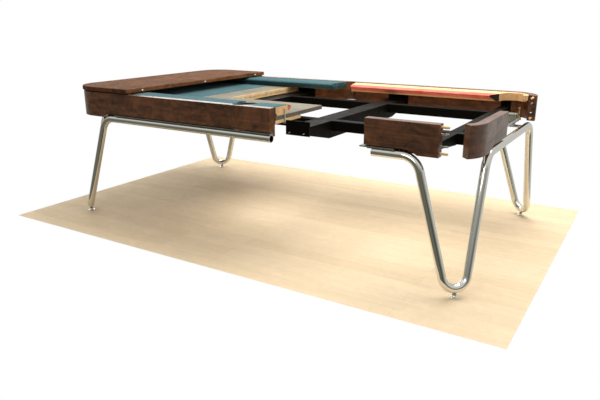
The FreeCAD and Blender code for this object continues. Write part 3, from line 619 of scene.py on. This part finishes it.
BRASS = bright_metal(
    "satin_brass", srgb(214, 178, 104), srgb(168, 134, 72), (300.0, 30.0, 300.0), (0.22, 0.36)
)
SLATE = honed_slate()
CLOTH = billiard_cloth()
FELT = dark_felt()
RED_RUBBER = rubber(
    "coral_rubber", srgb(222, 84, 70), srgb(244, 112, 96), srgb(250, 170, 150), (0.5, 0.68)
)
BLACK_RUBBER = rubber(
    "black_rubber", srgb(18, 18, 18), srgb(34, 33, 31), srgb(70, 68, 64), (0.55, 0.75)
)
NYLON = nylon()

# ------------ finishes and eased edges of the frame's nodes

CORNERS = ("near_left", "far_left", "near_right", "far_right")
ENDS = ("left", "right")
FINISHES = [
    (WALNUT_X, ("far_panel", "near_panel", "near_panel_segment"), 0.0012),
    (WALNUT_Y, ("left_end_panel", "right_end_panel"), 0.0012),
    (WALNUT_CORNER, [corner + "_corner" for corner in CORNERS], 0.0012),
    (WALNUT_LEAF, ("dining_leaf",), 0.0),
    (PALE_X, ("slate_liner",), 0.0008),
    (PEACH_X, ("far_left_rail", "far_right_rail", "near_left_rail", "near_right_rail"), 0.0008),
    (PEACH_Y, ("left_end_rail",), 0.0008),
    (SLATE, ("slate",), 0.0010),
    (BLACK_PAINT, ("far_beam", "near_beam"), 0.0030),
    (BLACK_PAINT, [end + "_crossbeam" for end in ENDS] + [end + "_end_member" for end in ENDS], 0.0012),
    (CHROME, [corner + "_leg" for corner in CORNERS] + ["far_side_tube", "near_side_tubes"], 0.0),
    (CHROME, [end + "_end_tube" for end in ENDS], 0.0),
    (STEEL, ["mounting_bars"] + [end + "_lift_posts" for end in ENDS], 0.0008),
    (STEEL, [end + "_lift_sleeves" for end in ENDS], 0.0006),
    (ZINC, [end + "_lift_boxes" for end in ENDS] + [end + "_catch_rod" for end in ENDS], 0.0010),
    (BRASS, [end + "_catch_levers" for end in ENDS], 0.0008),
]


def finish_node(node, material, ease):
    """Gives a node its finish, and breaks its sharp edges where it has flat faces."""
    shown = NODES[node]
    for slot in shown.material_slots:
        slot.material = material
    if not ease:
        return
    shown.modifiers.new("weld", "WELD").merge_threshold = 1e-5
    edges = shown.modifiers.new("eased_edges", "BEVEL")
    edges.width = ease
    edges.segments = 2
    edges.limit_method = "ANGLE"
    edges.angle_limit = math.radians(50)
    edges.use_clamp_overlap = True
    shown.modifiers.new("even_shading", "WEIGHTED_NORMAL").keep_sharp = True


for finish, names, eased_by in FINISHES:
    for node_name in names:
        finish_node(node_name, finish, eased_by)

# ------------ rails: rubber, facings and cloth


def far_side(run, out, level):
    """A point on the far long rails."""
    return Vector((run, out, level))


def near_side(run, out, level):
    """A point on the near long rails."""
    return Vector((run, -out, level))


def left_end(run, out, level):
    """A point on the left end rail."""
    return Vector((-out - END_INSET, run, level))


RAILS = {
    "near_left": (near_side, (-CORNER_JAW, -CORNER_SLANT), (-SIDE_JAW, SIDE_SLANT)),
    "far_left": (far_side, (-CORNER_JAW, -CORNER_SLANT), (-SIDE_JAW, SIDE_SLANT)),
    "left_end": (left_end, (-END_JAW, -CORNER_SLANT), (END_JAW, CORNER_SLANT)),
    "near_right": (near_side, (SIDE_JAW, -SIDE_SLANT), (NEAR_CUT, 0.0)),
    "far_right": (far_side, (SIDE_JAW, -SIDE_SLANT), (CORNER_JAW, CORNER_SLANT)),
}
RUBBER_SECTION = rounded([
    (RUBBER_BACK, RUBBER_TOP, 0.0), (NOSE + 0.005, NOSE_LEVEL + 0.005, 0.004), (NOSE, NOSE_LEVEL, 0.003),
    (NOSE + 0.005, NOSE_LEVEL - 0.005, 0.004), (RUBBER_BACK - 0.012, RUBBER_LOW + 0.003, 0.004),
    (RUBBER_BACK, RUBBER_LOW, 0.0),
])
BARE_SECTION = rounded([
    (RUBBER_BACK, RUBBER_TOP, 0.0), (NOSE + 0.005, NOSE_LEVEL + 0.005, 0.004), (NOSE, NOSE_LEVEL, 0.003),
    (NOSE + 0.003, NOSE_LEVEL - 0.006, 0.004), (RAIL_LIP - 0.005, RAIL_LOW + 0.010, 0.003),
    (RAIL_LIP - 0.0005, RAIL_LOW + 0.009, 0.001), (RAIL_LIP - 0.0005, RUBBER_LOW - 0.0015, 0.0),
    (RUBBER_BACK, RUBBER_LOW, 0.0),
])
FACING_SECTION = rounded([
    (FACING_BACK, RUBBER_TOP, 0.001), (NOSE + 0.002, NOSE_LEVEL + 0.005, 0.003),
    (NOSE + 0.002, NOSE_LEVEL - 0.005, 0.003), (RAIL_LIP + 0.004, RAIL_LOW + 0.002, 0.002),
    (FACING_BACK, RAIL_LOW + 0.002, 0.001),
])


def jaw_at(jaw, out):
    """How far along its rail a jaw is at some distance out."""
    return jaw[0] + jaw[1] * (out - NOSE)


def rail_bar(bm, place, outline, start, end, rows):
    """A section carried along a rail between two jaws."""
    rings = []
    for k in range(rows + 1):
        share = k / rows
        rings.append([
            place(jaw_at(start, out) * (1 - share) + jaw_at(end, out) * share, out, level)
            for out, level in outline
        ])
    skin(bm, rings)


def add_rubbers():
    """The cushion rubbers, glued to the front of the rails."""
    bm = bmesh.new()
    for rail, (place, start, end) in RAILS.items():
        rail_bar(bm, place, BARE_SECTION if rail == "far_right" else RUBBER_SECTION, start, end, 12)
    add_piece("moulded_cushions", solid(bm), RED_RUBBER, "table_top", ["cushion_rubbers"])


def add_facings():
    """The hard rubber facings on the jaws of the pockets."""
    bm = bmesh.new()
    for place, start, end in RAILS.values():
        for jaw, sense in ((start, -1), (end, 1)):
            if jaw[1]:
                outer = (jaw[0] + sense * FACING_RUN, jaw[1])
                rail_bar(bm, place, FACING_SECTION, jaw, outer, 1)
    add_piece("pocket_facings", solid(bm), BLACK_RUBBER, "table_top", ["jaw_facings"])


CLOTH_GAP = 0.0002
CLOTH_THICK = 0.0008
HEM_LEVEL = RAIL_LOW + 0.0005
CLOTH_PATH = rounded([
    (RAIL_BACK + CLOTH_GAP, RAIL_TOP - 0.026, 0.0),
    (RAIL_BACK + CLOTH_GAP, RAIL_TOP + CLOTH_GAP, 0.0025),
    *[(RAIL_BACK - 0.008 - 0.010 * k, RAIL_TOP + CLOTH_GAP, 0.0) for k in range(9)],
    (FACING_BACK, RAIL_TOP + CLOTH_GAP, 0.0),
    (RUBBER_BACK, RAIL_TOP + CLOTH_GAP, 0.006),
    (NOSE + 0.006, NOSE_LEVEL + 0.006, 0.006),
    (NOSE - CLOTH_GAP, NOSE_LEVEL, 0.003),
    (NOSE + 0.005, NOSE_LEVEL - 0.0055, 0.004),
    (RAIL_LIP - CLOTH_GAP, NOSE_LEVEL - 0.0130, 0.003),
    (RAIL_LIP + 0.0035, HEM_LEVEL, 0.0),
], closed=False, steps=5)
CLOTH_ROW = 0.025
CLOTH_FOLD = 0.0012
CUT_BACK = 0.0015
RIM_ROOM = 0.003
POCKET_ROOM = CUP_RADIUS + RIM_ROOM
SIDE_POCKET_ON_RAIL = (0.0, SIDE_POCKET)
CORNER_POCKET_ON_SIDE = (-CORNER_POCKET[0], CORNER_POCKET[1])
CORNER_POCKET_ON_END = (CORNER_POCKET[1], CORNER_POCKET[0] - END_INSET)
CLOTH_RAILS = {
    "near_left": (CORNER_POCKET_ON_SIDE, SIDE_POCKET_ON_RAIL),
    "far_left": (CORNER_POCKET_ON_SIDE, SIDE_POCKET_ON_RAIL),
    "left_end": ((-CORNER_POCKET_ON_END[0], CORNER_POCKET_ON_END[1]), CORNER_POCKET_ON_END),
    "near_right": (SIDE_POCKET_ON_RAIL, None),
}


def clear_of_pocket(run, out, pocket, sense):
    """Draws a cloth's end back to the rim of the pocket hole."""
    if pocket is None or abs(out - pocket[1]) >= POCKET_ROOM:
        return run
    rim = pocket[0] - sense * math.sqrt(POCKET_ROOM ** 2 - (out - pocket[1]) ** 2)
    return min(run, rim) if sense > 0 else max(run, rim)


def add_rail_cloth(rail, pockets):
    """Cloth pulled over one rail's top and rubber and round its jaws."""
    place, start, end = RAILS[rail]
    reach = FACING_RUN + 2 * CLOTH_GAP
    ends = []
    for jaw, pocket, sense in ((start, pockets[0], -1), (end, pockets[1], 1)):
        shift = sense * reach if jaw[1] else -CUT_BACK
        ends.append([clear_of_pocket(jaw_at(jaw, out) + shift, out, pocket, sense) for out, _ in CLOTH_PATH])
    bm = bmesh.new()
    count = max(6, int(abs(end[0] - start[0]) / CLOTH_ROW))
    rings = []
    for k in range(count + 1):
        share = k / count
        rings.append([
            place(first * (1 - share) + second * share, out, level)
            for first, second, (out, level) in zip(*ends, CLOTH_PATH)
        ])
    rows = skin(bm, rings, caps=False, loop=False)
    fold = next(i for i, (out, _) in enumerate(CLOTH_PATH) if out <= FACING_BACK)
    brim = next(i for i, (_, level) in enumerate(CLOTH_PATH) if level > RAIL_TOP)
    for jaw, row, line in ((start, rows[0], ends[0]), (end, rows[-1], ends[1])):
        if not jaw[1]:
            continue
        hem = [bm.verts.new(place(line[i], CLOTH_PATH[i][0], HEM_LEVEL)) for i in range(brim, fold + 1)]
        for upper, lower in zip(zip(row[brim:], row[brim + 1:fold + 1]), zip(hem, hem[1:])):
            bm.faces.new((upper[0], upper[1], lower[1], lower[0]))
        bm.faces.new([*row[fold:], hem[-1]])
    bmesh.ops.recalc_face_normals(bm, faces=bm.faces)
    top = max(bm.faces, key=lambda face: face.calc_center_median().z)
    if top.normal.z < 0:
        bmesh.ops.reverse_faces(bm, faces=bm.faces)
    cloth = add_piece(rail + "_rail_cloth", bm, CLOTH, "table_top", crease=50)
    edge = cloth.modifiers.new("soft_folds", "BEVEL")
    edge.width = CLOTH_FOLD
    edge.segments = 2
    edge.limit_method = "ANGLE"
    edge.angle_limit = math.radians(45)
    thick = cloth.modifiers.new("cloth_thickness", "SOLIDIFY")
    thick.thickness = CLOTH_THICK
    thick.offset = 1.0


LIPPING_THICK, LIPPING_EASE, LIPPING_INSET = 0.002, 0.0008, 0.0004
LIPPING_ROWS = 24


def add_lipping():
    """The pale strip along the slate's cut edge."""
    far = high("bed_cloth").y
    near = -SLATE_STRIP
    face, foot, top = SLATE_CUT + LIPPING_THICK, SLATE_LOW + LIPPING_INSET, SLATE_TOP - LIPPING_INSET
    outline = rounded([
        (SLATE_CUT, foot, 0.0), (face, foot, LIPPING_EASE), (face, top, LIPPING_EASE), (SLATE_CUT, top, 0.0),
    ])
    bm = bmesh.new()
    skin(bm, [
        [Vector((x, near + (far - near) * k / LIPPING_ROWS, z)) for x, z in outline]
        for k in range(LIPPING_ROWS + 1)
    ])
    add_piece("slate_edge_lipping", solid(bm), PALE_X, "table_top")


def circle_points(centre, radius, sides=48):
    """Points round a circle, for a level outline."""
    turns = [2 * math.pi * k / sides for k in range(sides)]
    return [(centre[0] + radius * math.cos(turn), centre[1] + radius * math.sin(turn)) for turn in turns]


BED_CORNER = 0.085
THREAD_ENDS = 290
FRAY = (-0.0006, 0.0002)
HOLE_ROOM = 0.002


def add_bed_cloth():
    """The bed's cloth, stretched over the slate and cut straight across, its cut edge a little frayed."""
    lowest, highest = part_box("bed_cloth")
    chance = random.Random(11)
    outline = rounded([
        (lowest.x, lowest.y, BED_CORNER), (highest.x, lowest.y, 0.0),
        (highest.x, highest.y, 0.0), (lowest.x, highest.y, BED_CORNER),
    ], steps=10)
    edge = [i for i, point in enumerate(outline) if abs(point.x - highest.x) < 1e-6]
    frayed = []
    for k in range(1, THREAD_ENDS):
        across = lowest.y + (highest.y - lowest.y) * k / THREAD_ENDS
        frayed.append(Vector((highest.x + chance.uniform(*FRAY), across)))
    outline[edge[0] + 1:edge[0] + 1] = frayed
    data = bpy.data.curves.new("bed_cloth_outline", "CURVE")
    data.dimensions = "2D"
    data.fill_mode = "BOTH"
    data.extrude = (highest.z - lowest.z) / 2
    hole = CUP_RADIUS + HOLE_ROOM
    holes = [circle_points((-CORNER_POCKET[0], side * CORNER_POCKET[1]), hole) for side in SIGNS]
    for points in [outline, *holes]:
        spline = data.splines.new("POLY")
        spline.points.add(len(points) - 1)
        for point, (x, y) in zip(spline.points, points):
            point.co = (x, y, 0.0, 1.0)
        spline.use_cyclic_u = True
    pattern = bpy.data.objects.new("bed_cloth_outline", data)
    pattern.location.z = (lowest.z + highest.z) / 2
    SCENE.collection.objects.link(pattern)
    bpy.context.view_layer.update()
    mesh = bpy.data.meshes.new_from_object(pattern)
    mesh.transform(pattern.matrix_world)
    bpy.data.objects.remove(pattern)
    mesh.materials.clear()
    bm = bmesh.new()
    bm.from_mesh(mesh)
    bmesh.ops.remove_doubles(bm, verts=bm.verts, dist=1e-6)
    bm.to_mesh(mesh)
    bm.free()
    cloth = dress("stretched_bed_cloth", mesh, CLOTH, "table_top", ["bed_cloth"])


add_rubbers()
add_facings()
for rail_name, rail_pockets in CLOTH_RAILS.items():
    add_rail_cloth(rail_name, rail_pockets)
add_bed_cloth()
add_lipping()

# ------------ pockets


def add_pocket_cups():
    """Moulded cups with a rolled lip, a ribbed wall and a dished floor."""
    wall, tall = 0.004, CUP_TOP - CUP_LOW
    ribs, rib_pitch, rib_rise = 7, 0.0075, 0.0008
    rib_foot, rib_crest = 0.0022, 0.0012
    lip = [
        (tall - 0.006, CUP_RADIUS - 0.001), (tall - 0.0045, CUP_RADIUS), (tall - 0.0015, CUP_RADIUS),
        (tall, CUP_RADIUS - 0.0015), (tall, CUP_RADIUS - 0.0035), (tall - 0.0015, CUP_RADIUS - 0.005),
    ]
    profile = [
        (0.0, 0.002), (0.0, CUP_RADIUS - 0.008), (0.002, CUP_RADIUS - 0.003), (0.006, CUP_RADIUS - 0.001),
        *lip,
    ]
    inner = CUP_RADIUS - wall
    for k in range(1, ribs + 1):
        level = tall - 0.006 - k * rib_pitch
        profile += [
            (level + rib_foot, inner), (level + rib_crest, inner - rib_rise),
            (level - rib_crest, inner - rib_rise), (level - rib_foot, inner),
        ]
    profile += [(0.0075, inner - 0.001), (0.0050, inner - 0.004), (0.0042, inner - 0.012), (wall, 0.002)]
    bm = bmesh.new()
    centres = [(0.0, -SIDE_POCKET)] + [(-CORNER_POCKET[0], side * CORNER_POCKET[1]) for side in SIGNS]
    for x, y in centres:
        turned(bm, (x, y, CUP_LOW), "Z", profile, sides=64)
    add_piece(
        "ribbed_pocket_cups", solid(bm), BLACK_RUBBER, "table_top", ["pocket_cups"], crease=40
    )


add_pocket_cups()

# ------------ feet

PAD_PROFILE = [
    (0.0, 0.002), (0.0, 0.0172), (0.0004, 0.0182), (0.0012, 0.0190), (0.0026, 0.0190),
    (0.0034, 0.0184), (0.0040, 0.0168), (0.0048, 0.0142), (0.0058, 0.0120), (0.0070, 0.0102),
    (0.0084, 0.0090), (0.0100, 0.0082), (0.0107, 0.0078), (0.0110, 0.0070), (0.0110, 0.0054),
    (0.0098, 0.0052), (0.0098, 0.001),
]
STEM_RADIUS = 0.005
NUT_LEVEL, NUT_RADIUS, NUT_TALL = 0.0130, 0.009, 0.006
FOOT_WASHER_LEVEL, FOOT_WASHER = 0.0122, (0.0052, 0.0086, 0.0008)


def add_foot(corner):
    """A turned pad on a threaded stem with its lock nut."""
    lowest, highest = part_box(corner + "_foot_pad")
    x, y = (lowest.x + highest.x) / 2, (lowest.y + highest.y) / 2
    bm = bmesh.new()
    turned(bm, (x, y, 0.0), "Z", PAD_PROFILE, sides=48)
    add_piece(
        corner + "_turned_pad", solid(bm), CHROME, corner + "_foot", [corner + "_foot_pad"]
    )
    stem_low, stem_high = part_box(corner + "_foot_stem")
    bm = bmesh.new()
    threaded(bm, (x, y, stem_low.z), "Z", STEM_RADIUS, stem_high.z - stem_low.z)
    hexagon(bm, (x, y, NUT_LEVEL), "Z", NUT_RADIUS, NUT_TALL)
    washer(bm, (x, y, FOOT_WASHER_LEVEL), *FOOT_WASHER)
    add_piece(
        corner + "_threaded_stem", solid(bm), STEEL, corner + "_stem",
        [corner + "_foot_stem"], crease=25,
    )


for corner_name in CORNERS:
    add_foot(corner_name)

# ------------ cabinet joints: dowels and bolts

SIDE_LINE = high("far_panel").y - BOARD / 2
END_LINE = high("right_end_panel").x - BOARD / 2
BOARD_JOINTS = [
    (low("near_panel").x, -SIDE_LINE, "X"), (high("near_panel_segment").x, -SIDE_LINE, "X"),
    (low("far_panel").x, SIDE_LINE, "X"), (high("far_panel").x, SIDE_LINE, "X"),
    (-END_LINE, low("left_end_panel").y, "Y"), (-END_LINE, high("left_end_panel").y, "Y"),
    (END_LINE, low("right_end_panel").y, "Y"), (END_LINE, low("far_right_corner").y, "Y"),
]
PIN_REACH = 0.033
DOWEL_RADIUS, BOLT_RADIUS, BOLT_PITCH = 0.006, 0.004, 0.00125
FLUTES, FLUTE_DEPTH = 12, 0.045
DOWEL_LEVELS = (high("cabinet_dowels").z - DOWEL_RADIUS, low("cabinet_dowels").z + DOWEL_RADIUS)
BOLT_LEVELS = (high("cabinet_bolts").z - BOLT_RADIUS, low("cabinet_bolts").z + BOLT_RADIUS)


def joint_starts(levels):
    """Where the pins of every board joint begin."""
    for x, y, axis in BOARD_JOINTS:
        for level in levels:
            yield ((x - PIN_REACH, y, level) if axis == "X" else (x, y - PIN_REACH, level)), axis


def add_steel_threads(name, bm, stands_for):
    """Makes one piece of the threaded steel that the table top carries."""
    add_piece(name, solid(bm), STEEL, "table_top", [stands_for], crease=25)


def add_dowels():
    """Fluted dowels with chamfered ends."""
    def flutes(angle, _):
        return 1 - FLUTE_DEPTH * max(0.0, math.cos(FLUTES * angle))

    long, radius = 2 * PIN_REACH, DOWEL_RADIUS
    nose = [(0.0, radius * 0.72), (0.0022, radius * 0.98), (0.0030, radius)]
    profile = nose + [(long - distance, wide) for distance, wide in nose[::-1]]
    bm = bmesh.new()
    for start, axis in joint_starts(DOWEL_LEVELS):
        turned(bm, start, axis, profile, sides=48, relief=flutes)
    add_piece("fluted_dowels", solid(bm), DOWEL_WOOD, "table_top", ["cabinet_dowels"], crease=40)


def add_cabinet_bolts():
    """Threaded bolts that draw the boards together."""
    bm = bmesh.new()
    for start, axis in joint_starts(BOLT_LEVELS):
        threaded(bm, start, axis, BOLT_RADIUS, 2 * PIN_REACH, pitch=BOLT_PITCH)
    add_steel_threads("threaded_joint_bolts", bm, "cabinet_bolts")


add_dowels()
add_cabinet_bolts()

# ------------ chassis screws, welds and rail bolts


PLATE_MARGIN = {"_crossbeam": 0.014, "_end_member": 0.006}


def member_lines():
    """The middle and half width of each cross member."""
    for end in ENDS:
        for kind in PLATE_MARGIN:
            lowest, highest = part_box(end + kind)
            yield (lowest.x + highest.x) / 2, (highest.x - lowest.x) / 2 - PLATE_MARGIN[kind]


PLATE_THICK = 0.005
SCREW_START = high("left_crossbeam").y - PLATE_THICK
SCREW_INSET, SCREW_RADIUS, SCREW_PITCH, SCREW_POINT = 0.012, 0.003, 0.0022, 0.006
SCREW_LEVEL = (low("bracket_screws").z + high("bracket_screws").z) / 2
SCREW_LONG = high("bracket_screws").y - SCREW_START


def add_bracket_screws():
    """Wood screws that run out through the chassis plates."""
    bm = bmesh.new()
    for middle, half in member_lines():
        for step in SIGNS:
            start = (middle + step * (half - SCREW_INSET), SCREW_START, SCREW_LEVEL)
            threaded(bm, start, "Y", SCREW_RADIUS, SCREW_LONG, pitch=SCREW_PITCH, point=SCREW_POINT)
    mirrored = bmesh.ops.duplicate(bm, geom=bm.verts[:] + bm.edges[:] + bm.faces[:])["geom"]
    for item in mirrored:
        if isinstance(item, bmesh.types.BMVert):
            item.co.y = -item.co.y
    add_steel_threads("plate_wood_screws", bm, "bracket_screws")


BEAM_INNER, BEAM_OUTER = low("far_beam").y, high("far_beam").y
BEAM_LOW, STEEL_TOP = low("far_beam").z, high("far_beam").z
BEAD_RADIUS, BEAD_STEP, BEAD_SIDES = 0.0032, 0.0028, 8
BEAD_WAVE, BEAD_TURN, BEAD_CHANCE, BEAD_END = 0.16, 2.4, 0.08, 0.45
BEAM_BEAD_INSET = 0.002
PLATE_BEAD_LOW, PLATE_BEAD_TOP = 0.024, 0.003


def bead(bm, x, y, start, end, chance):
    """One rippled weld bead up a corner of the chassis."""
    steps = max(6, int((end - start) / BEAD_STEP))
    rings = []
    for i in range(steps + 1):
        share = i / steps
        ripple = 1 + BEAD_WAVE * math.sin(i * BEAD_TURN) + chance.uniform(-BEAD_CHANCE, BEAD_CHANCE)
        reach = BEAD_RADIUS * ripple * (BEAD_END if i in (0, steps) else 1.0)
        level = start + (end - start) * share
        rings.append([Vector((*point, level)) for point in circle_points((x, y), reach, BEAD_SIDES)])
    skin(bm, rings)


def add_welds():
    """The beads that hold the cross members to the two beams and to their end plates."""
    chance = random.Random(5)
    bm = bmesh.new()
    foot, top = BEAM_LOW + BEAM_BEAD_INSET, STEEL_TOP - BEAM_BEAD_INSET
    plate_foot, plate_top = BEAM_LOW + PLATE_BEAD_LOW, STEEL_TOP - PLATE_BEAD_TOP
    for middle, half in member_lines():
        for step in SIGNS:
            x = middle + step * half
            for side in SIGNS:
                for across in (BEAM_INNER, BEAM_OUTER):
                    bead(bm, x, side * across, foot, top, chance)
                bead(bm, x, side * SCREW_START, plate_foot, plate_top, chance)
    add_piece("chassis_weld_beads", solid(bm), BLACK_PAINT, "table_top", crease=60)


RAIL_BOLTS_ALONG = (NEAR_CUT, -0.230, -0.560, -0.880)
END_BOLT_ACROSS = 0.200
RAIL_BOLT_RADIUS, RAIL_BOLT_PITCH = 0.005, 0.0018
HEAD_RADIUS, HEAD_TALL = 0.0085, 0.0052
RAIL_WASHER_RISE, RAIL_WASHER = 0.0054, (0.0045, 0.0105, 0.0012)


def add_rail_bolts():
    """The bolts that hold the rails down through the slate, with their heads and washers below."""
    bm = bmesh.new()
    lowest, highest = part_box("rail_bolts")
    radius = RAIL_BOLT_RADIUS
    across = highest.y - radius
    places = [(x, -across) for x in RAIL_BOLTS_ALONG] + [(x, across) for x in RAIL_BOLTS_ALONG[2:]]
    places += [(lowest.x + radius, side * END_BOLT_ACROSS) for side in SIGNS]
    shank = lowest.z + 0.005
    for x, y in places:
        threaded(bm, (x, y, shank), "Z", radius, highest.z - shank, pitch=RAIL_BOLT_PITCH)
        hexagon(bm, (x, y, lowest.z), "Z", HEAD_RADIUS, HEAD_TALL)
        washer(bm, (x, y, lowest.z + RAIL_WASHER_RISE), *RAIL_WASHER)
    add_steel_threads("rail_hold_down_bolts", bm, "rail_bolts")


add_bracket_screws()
add_welds()
add_rail_bolts()


# ------------ leaf pegs and felt strips


def add_leaf_pegs():
    """Round-nosed nylon pegs in the leaf's inner edge."""
    lowest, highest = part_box("leaf_pegs")
    radius = 0.004
    barrel = highest.x - lowest.x - radius
    profile = [(0.0, radius * 0.9), (0.001, radius), (barrel, radius)]
    for k in range(1, 6):
        turn = k / 5 * math.pi / 2
        profile.append((barrel + radius * math.sin(turn), max(0.0002, radius * math.cos(turn))))
    bm = bmesh.new()
    for place in (-1, 0, 1):
        start = (lowest.x, place * (highest.y - radius), (lowest.z + highest.z) / 2)
        turned(bm, start, "X", profile, sides=32)
    add_piece("round_nosed_pegs", solid(bm), NYLON, "dining_leaf", ["leaf_pegs"])


def add_felt_strips():
    """Felt strips with soft edges, glued under the leaf."""
    lowest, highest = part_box("leaf_felt_strips")
    wide, soft = 0.020, 0.0018
    side_rows, end_rows = 24, 20
    bm = bmesh.new()

    def section(inner, outer):
        foot, top = lowest.z, highest.z
        return rounded([(inner, foot, soft), (outer, foot, soft), (outer, top, 0.0), (inner, top, 0.0)])

    start = low("near_panel").x
    for side in SIGNS:
        outline = section(side * (highest.y - wide), side * highest.y)
        rings = []
        for k in range(side_rows + 1):
            x = start + (highest.x - start) * k / side_rows
            rings.append([Vector((x, across, level)) for across, level in outline])
        skin(bm, rings)
    outline = section(lowest.x + wide, lowest.x)
    reach = high("left_end_panel").y
    rings = []
    for k in range(end_rows + 1):
        y = reach * (k / end_rows * 2 - 1)
        rings.append([Vector((across, y, level)) for across, level in outline])
    skin(bm, rings)
    add_piece("leaf_felt", solid(bm), FELT, "dining_leaf", ["leaf_felt_strips"])


add_leaf_pegs()
add_felt_strips()

# ------------ pressed square on the lift boxes


EAR_REACH = 0.016
BOX_HALF = 0.025
PRESSED_HALF, PRESSED_EASE, PRESSED_RISE = 0.0085, 0.004, 0.012


def pressed_square(bm, x, y, level, half, sense):
    """A raised square ring pressed in a box's outer face."""
    outline = rounded([
        (across * half, up * half, PRESSED_EASE) for across, up in ((-1, -1), (1, -1), (1, 1), (-1, 1))
    ])
    steps = [(1.0, 0.0), (0.97, 0.0010), (0.90, 0.0014), (0.74, 0.0014), (0.66, 0.0010), (0.62, 0.0002)]
    rings = []
    for scale, rise in steps:
        face = x + sense * rise
        rings.append([Vector((face, y + across * scale, level + up * scale)) for across, up in outline])
    skin(bm, rings)


def add_pressings():
    """The pressed squares on all four lift boxes."""
    bm = bmesh.new()
    for end, sense in zip(ENDS, SIGNS):
        box_low, box_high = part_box(end + "_lift_boxes")
        face = sense * max(abs(box_low.x), abs(box_high.x)) - sense * EAR_REACH
        level = (box_low.z + box_high.z) / 2 + PRESSED_RISE
        for side in SIGNS:
            pressed_square(bm, face, side * (box_high.y - BOX_HALF), level, PRESSED_HALF, sense)
    add_piece("lift_box_pressings", solid(bm), ZINC, "table_top", crease=40)


add_pressings()

# ------------ floor, light and surroundings


def add_floor():
    """A pale boarded floor, laid as a rectangle under the table."""
    material, tree, shader = new_material("pale_floor", srgb(236, 214, 180), Specular_IOR_Level=0.2)
    planks = add_node(tree, "TexBrick", {
        "Vector": add_node(tree, "TexCoord").outputs["Object"], "Color1": (*srgb(230, 206, 171), 1.0),
        "Color2": (*srgb(238, 216, 182), 1.0), "Mortar": (*srgb(218, 192, 156), 1.0), "Scale": 1.0,
        "Mortar Size": 0.0008, "Brick Width": 0.95, "Row Height": 0.085,
    }, offset=0.37).outputs["Color"]
    grain = use_group(tree, WOOD_GRAIN, Stretch=(2.0, 24.0, 24.0), Cloud=0.04)["Color"]
    grain = blended(tree, 0.88, grain, (1.0, 1.0, 1.0))
    colour = blended(tree, 1.0, planks, grain, "MULTIPLY")
    give(tree, shader, Base_Color=colour)
    give(tree, shader, Roughness=mottle(tree, 8.0, 0.55, 0.68))
    mesh = bpy.data.meshes.new("floor")
    reach, near, far = 1.41, -0.93, 0.90
    corners = [(-reach, near, 0), (reach, near, 0), (reach, far, 0), (-reach, far, 0)]
    mesh.from_pydata(corners, [], [(0, 1, 2, 3)])
    mesh.materials.append(material)
    floor = bpy.data.objects.new("floor", mesh)
    SCENE.collection.objects.link(floor)


def add_light(name, place, aim, wide, deep, power, colour=(1.0, 1.0, 1.0)):
    """A soft rectangular lamp that points at a place."""
    data = bpy.data.lights.new(name, "AREA")
    data.shape = "RECTANGLE"
    data.size, data.size_y = wide, deep
    data.energy = power
    data.color = colour
    lamp = bpy.data.objects.new(name, data)
    lamp.location = place
    lamp.rotation_euler = (Vector(aim) - Vector(place)).to_track_quat("-Z", "Y").to_euler()
    SCENE.collection.objects.link(lamp)


def add_surroundings():
    """A white view behind the table, and a room of light above and dark below for its reflections."""
    world = bpy.data.worlds.new("surroundings")
    world.use_nodes = True
    tree = world.node_tree
    tree.nodes.clear()
    way = add_node(tree, "TexCoord").outputs["Generated"]
    parts = add_node(tree, "SeparateXYZ", {0: way}).outputs
    sky = spread(tree, parts[2], 0.10, 0.55)
    front = spread(tree, parts[1], 0.25, -0.45)
    wall = blended(tree, front, (0.85, 0.84, 0.80), (0.20, 0.20, 0.165))
    stripe = spread(tree, maths(tree, "ABSOLUTE", maths(tree, "SUBTRACT", parts[0], 0.62)), 0.10, 0.06)
    wall = blended(tree, times(tree, stripe, front), wall, (0.015, 0.015, 0.012))
    room = blended(tree, sky, wall, (0.95, 0.95, 0.93))
    light = add_node(tree, "Background", {"Color": room, "Strength": 0.75})
    glint = add_node(tree, "LightPath").outputs["Is Glossy Ray"]
    for axis, outside, inside in ((0, -0.42, -0.58), (1, 0.20, 0.45), (2, 0.02, 0.10), (2, 0.60, 0.35)):
        glint = times(tree, glint, spread(tree, parts[axis], outside, inside))
    strength = times(tree, glint, 2.4)
    window = add_node(tree, "Background", {"Color": (1.0, 0.99, 0.96, 1.0), "Strength": strength})
    light = add_node(tree, "AddShader", {0: light.outputs[0], 1: window.outputs[0]})
    plain = add_node(tree, "Background", {"Color": (1, 1, 1, 1), "Strength": 1.0})
    seen = add_node(tree, "LightPath").outputs["Is Camera Ray"]
    mixed = add_node(tree, "MixShader", {0: seen, 1: light.outputs[0], 2: plain.outputs[0]})
    out = add_node(tree, "OutputWorld")
    tree.links.new(mixed.outputs[0], out.inputs[0])
    SCENE.world = world


add_floor()
add_surroundings()
add_light("overhead", (0.6, 0.8, 3.0), (0.2, 0.0, 0.4), 2.8, 2.2, 125.0, (1.0, 0.98, 0.94))
add_light("front_fill", (0.6, -3.4, 2.2), (0.0, 0.0, 0.5), 1.8, 1.2, 20.0, (1.0, 0.97, 0.92))
SCENE.view_settings.view_transform = "Standard"
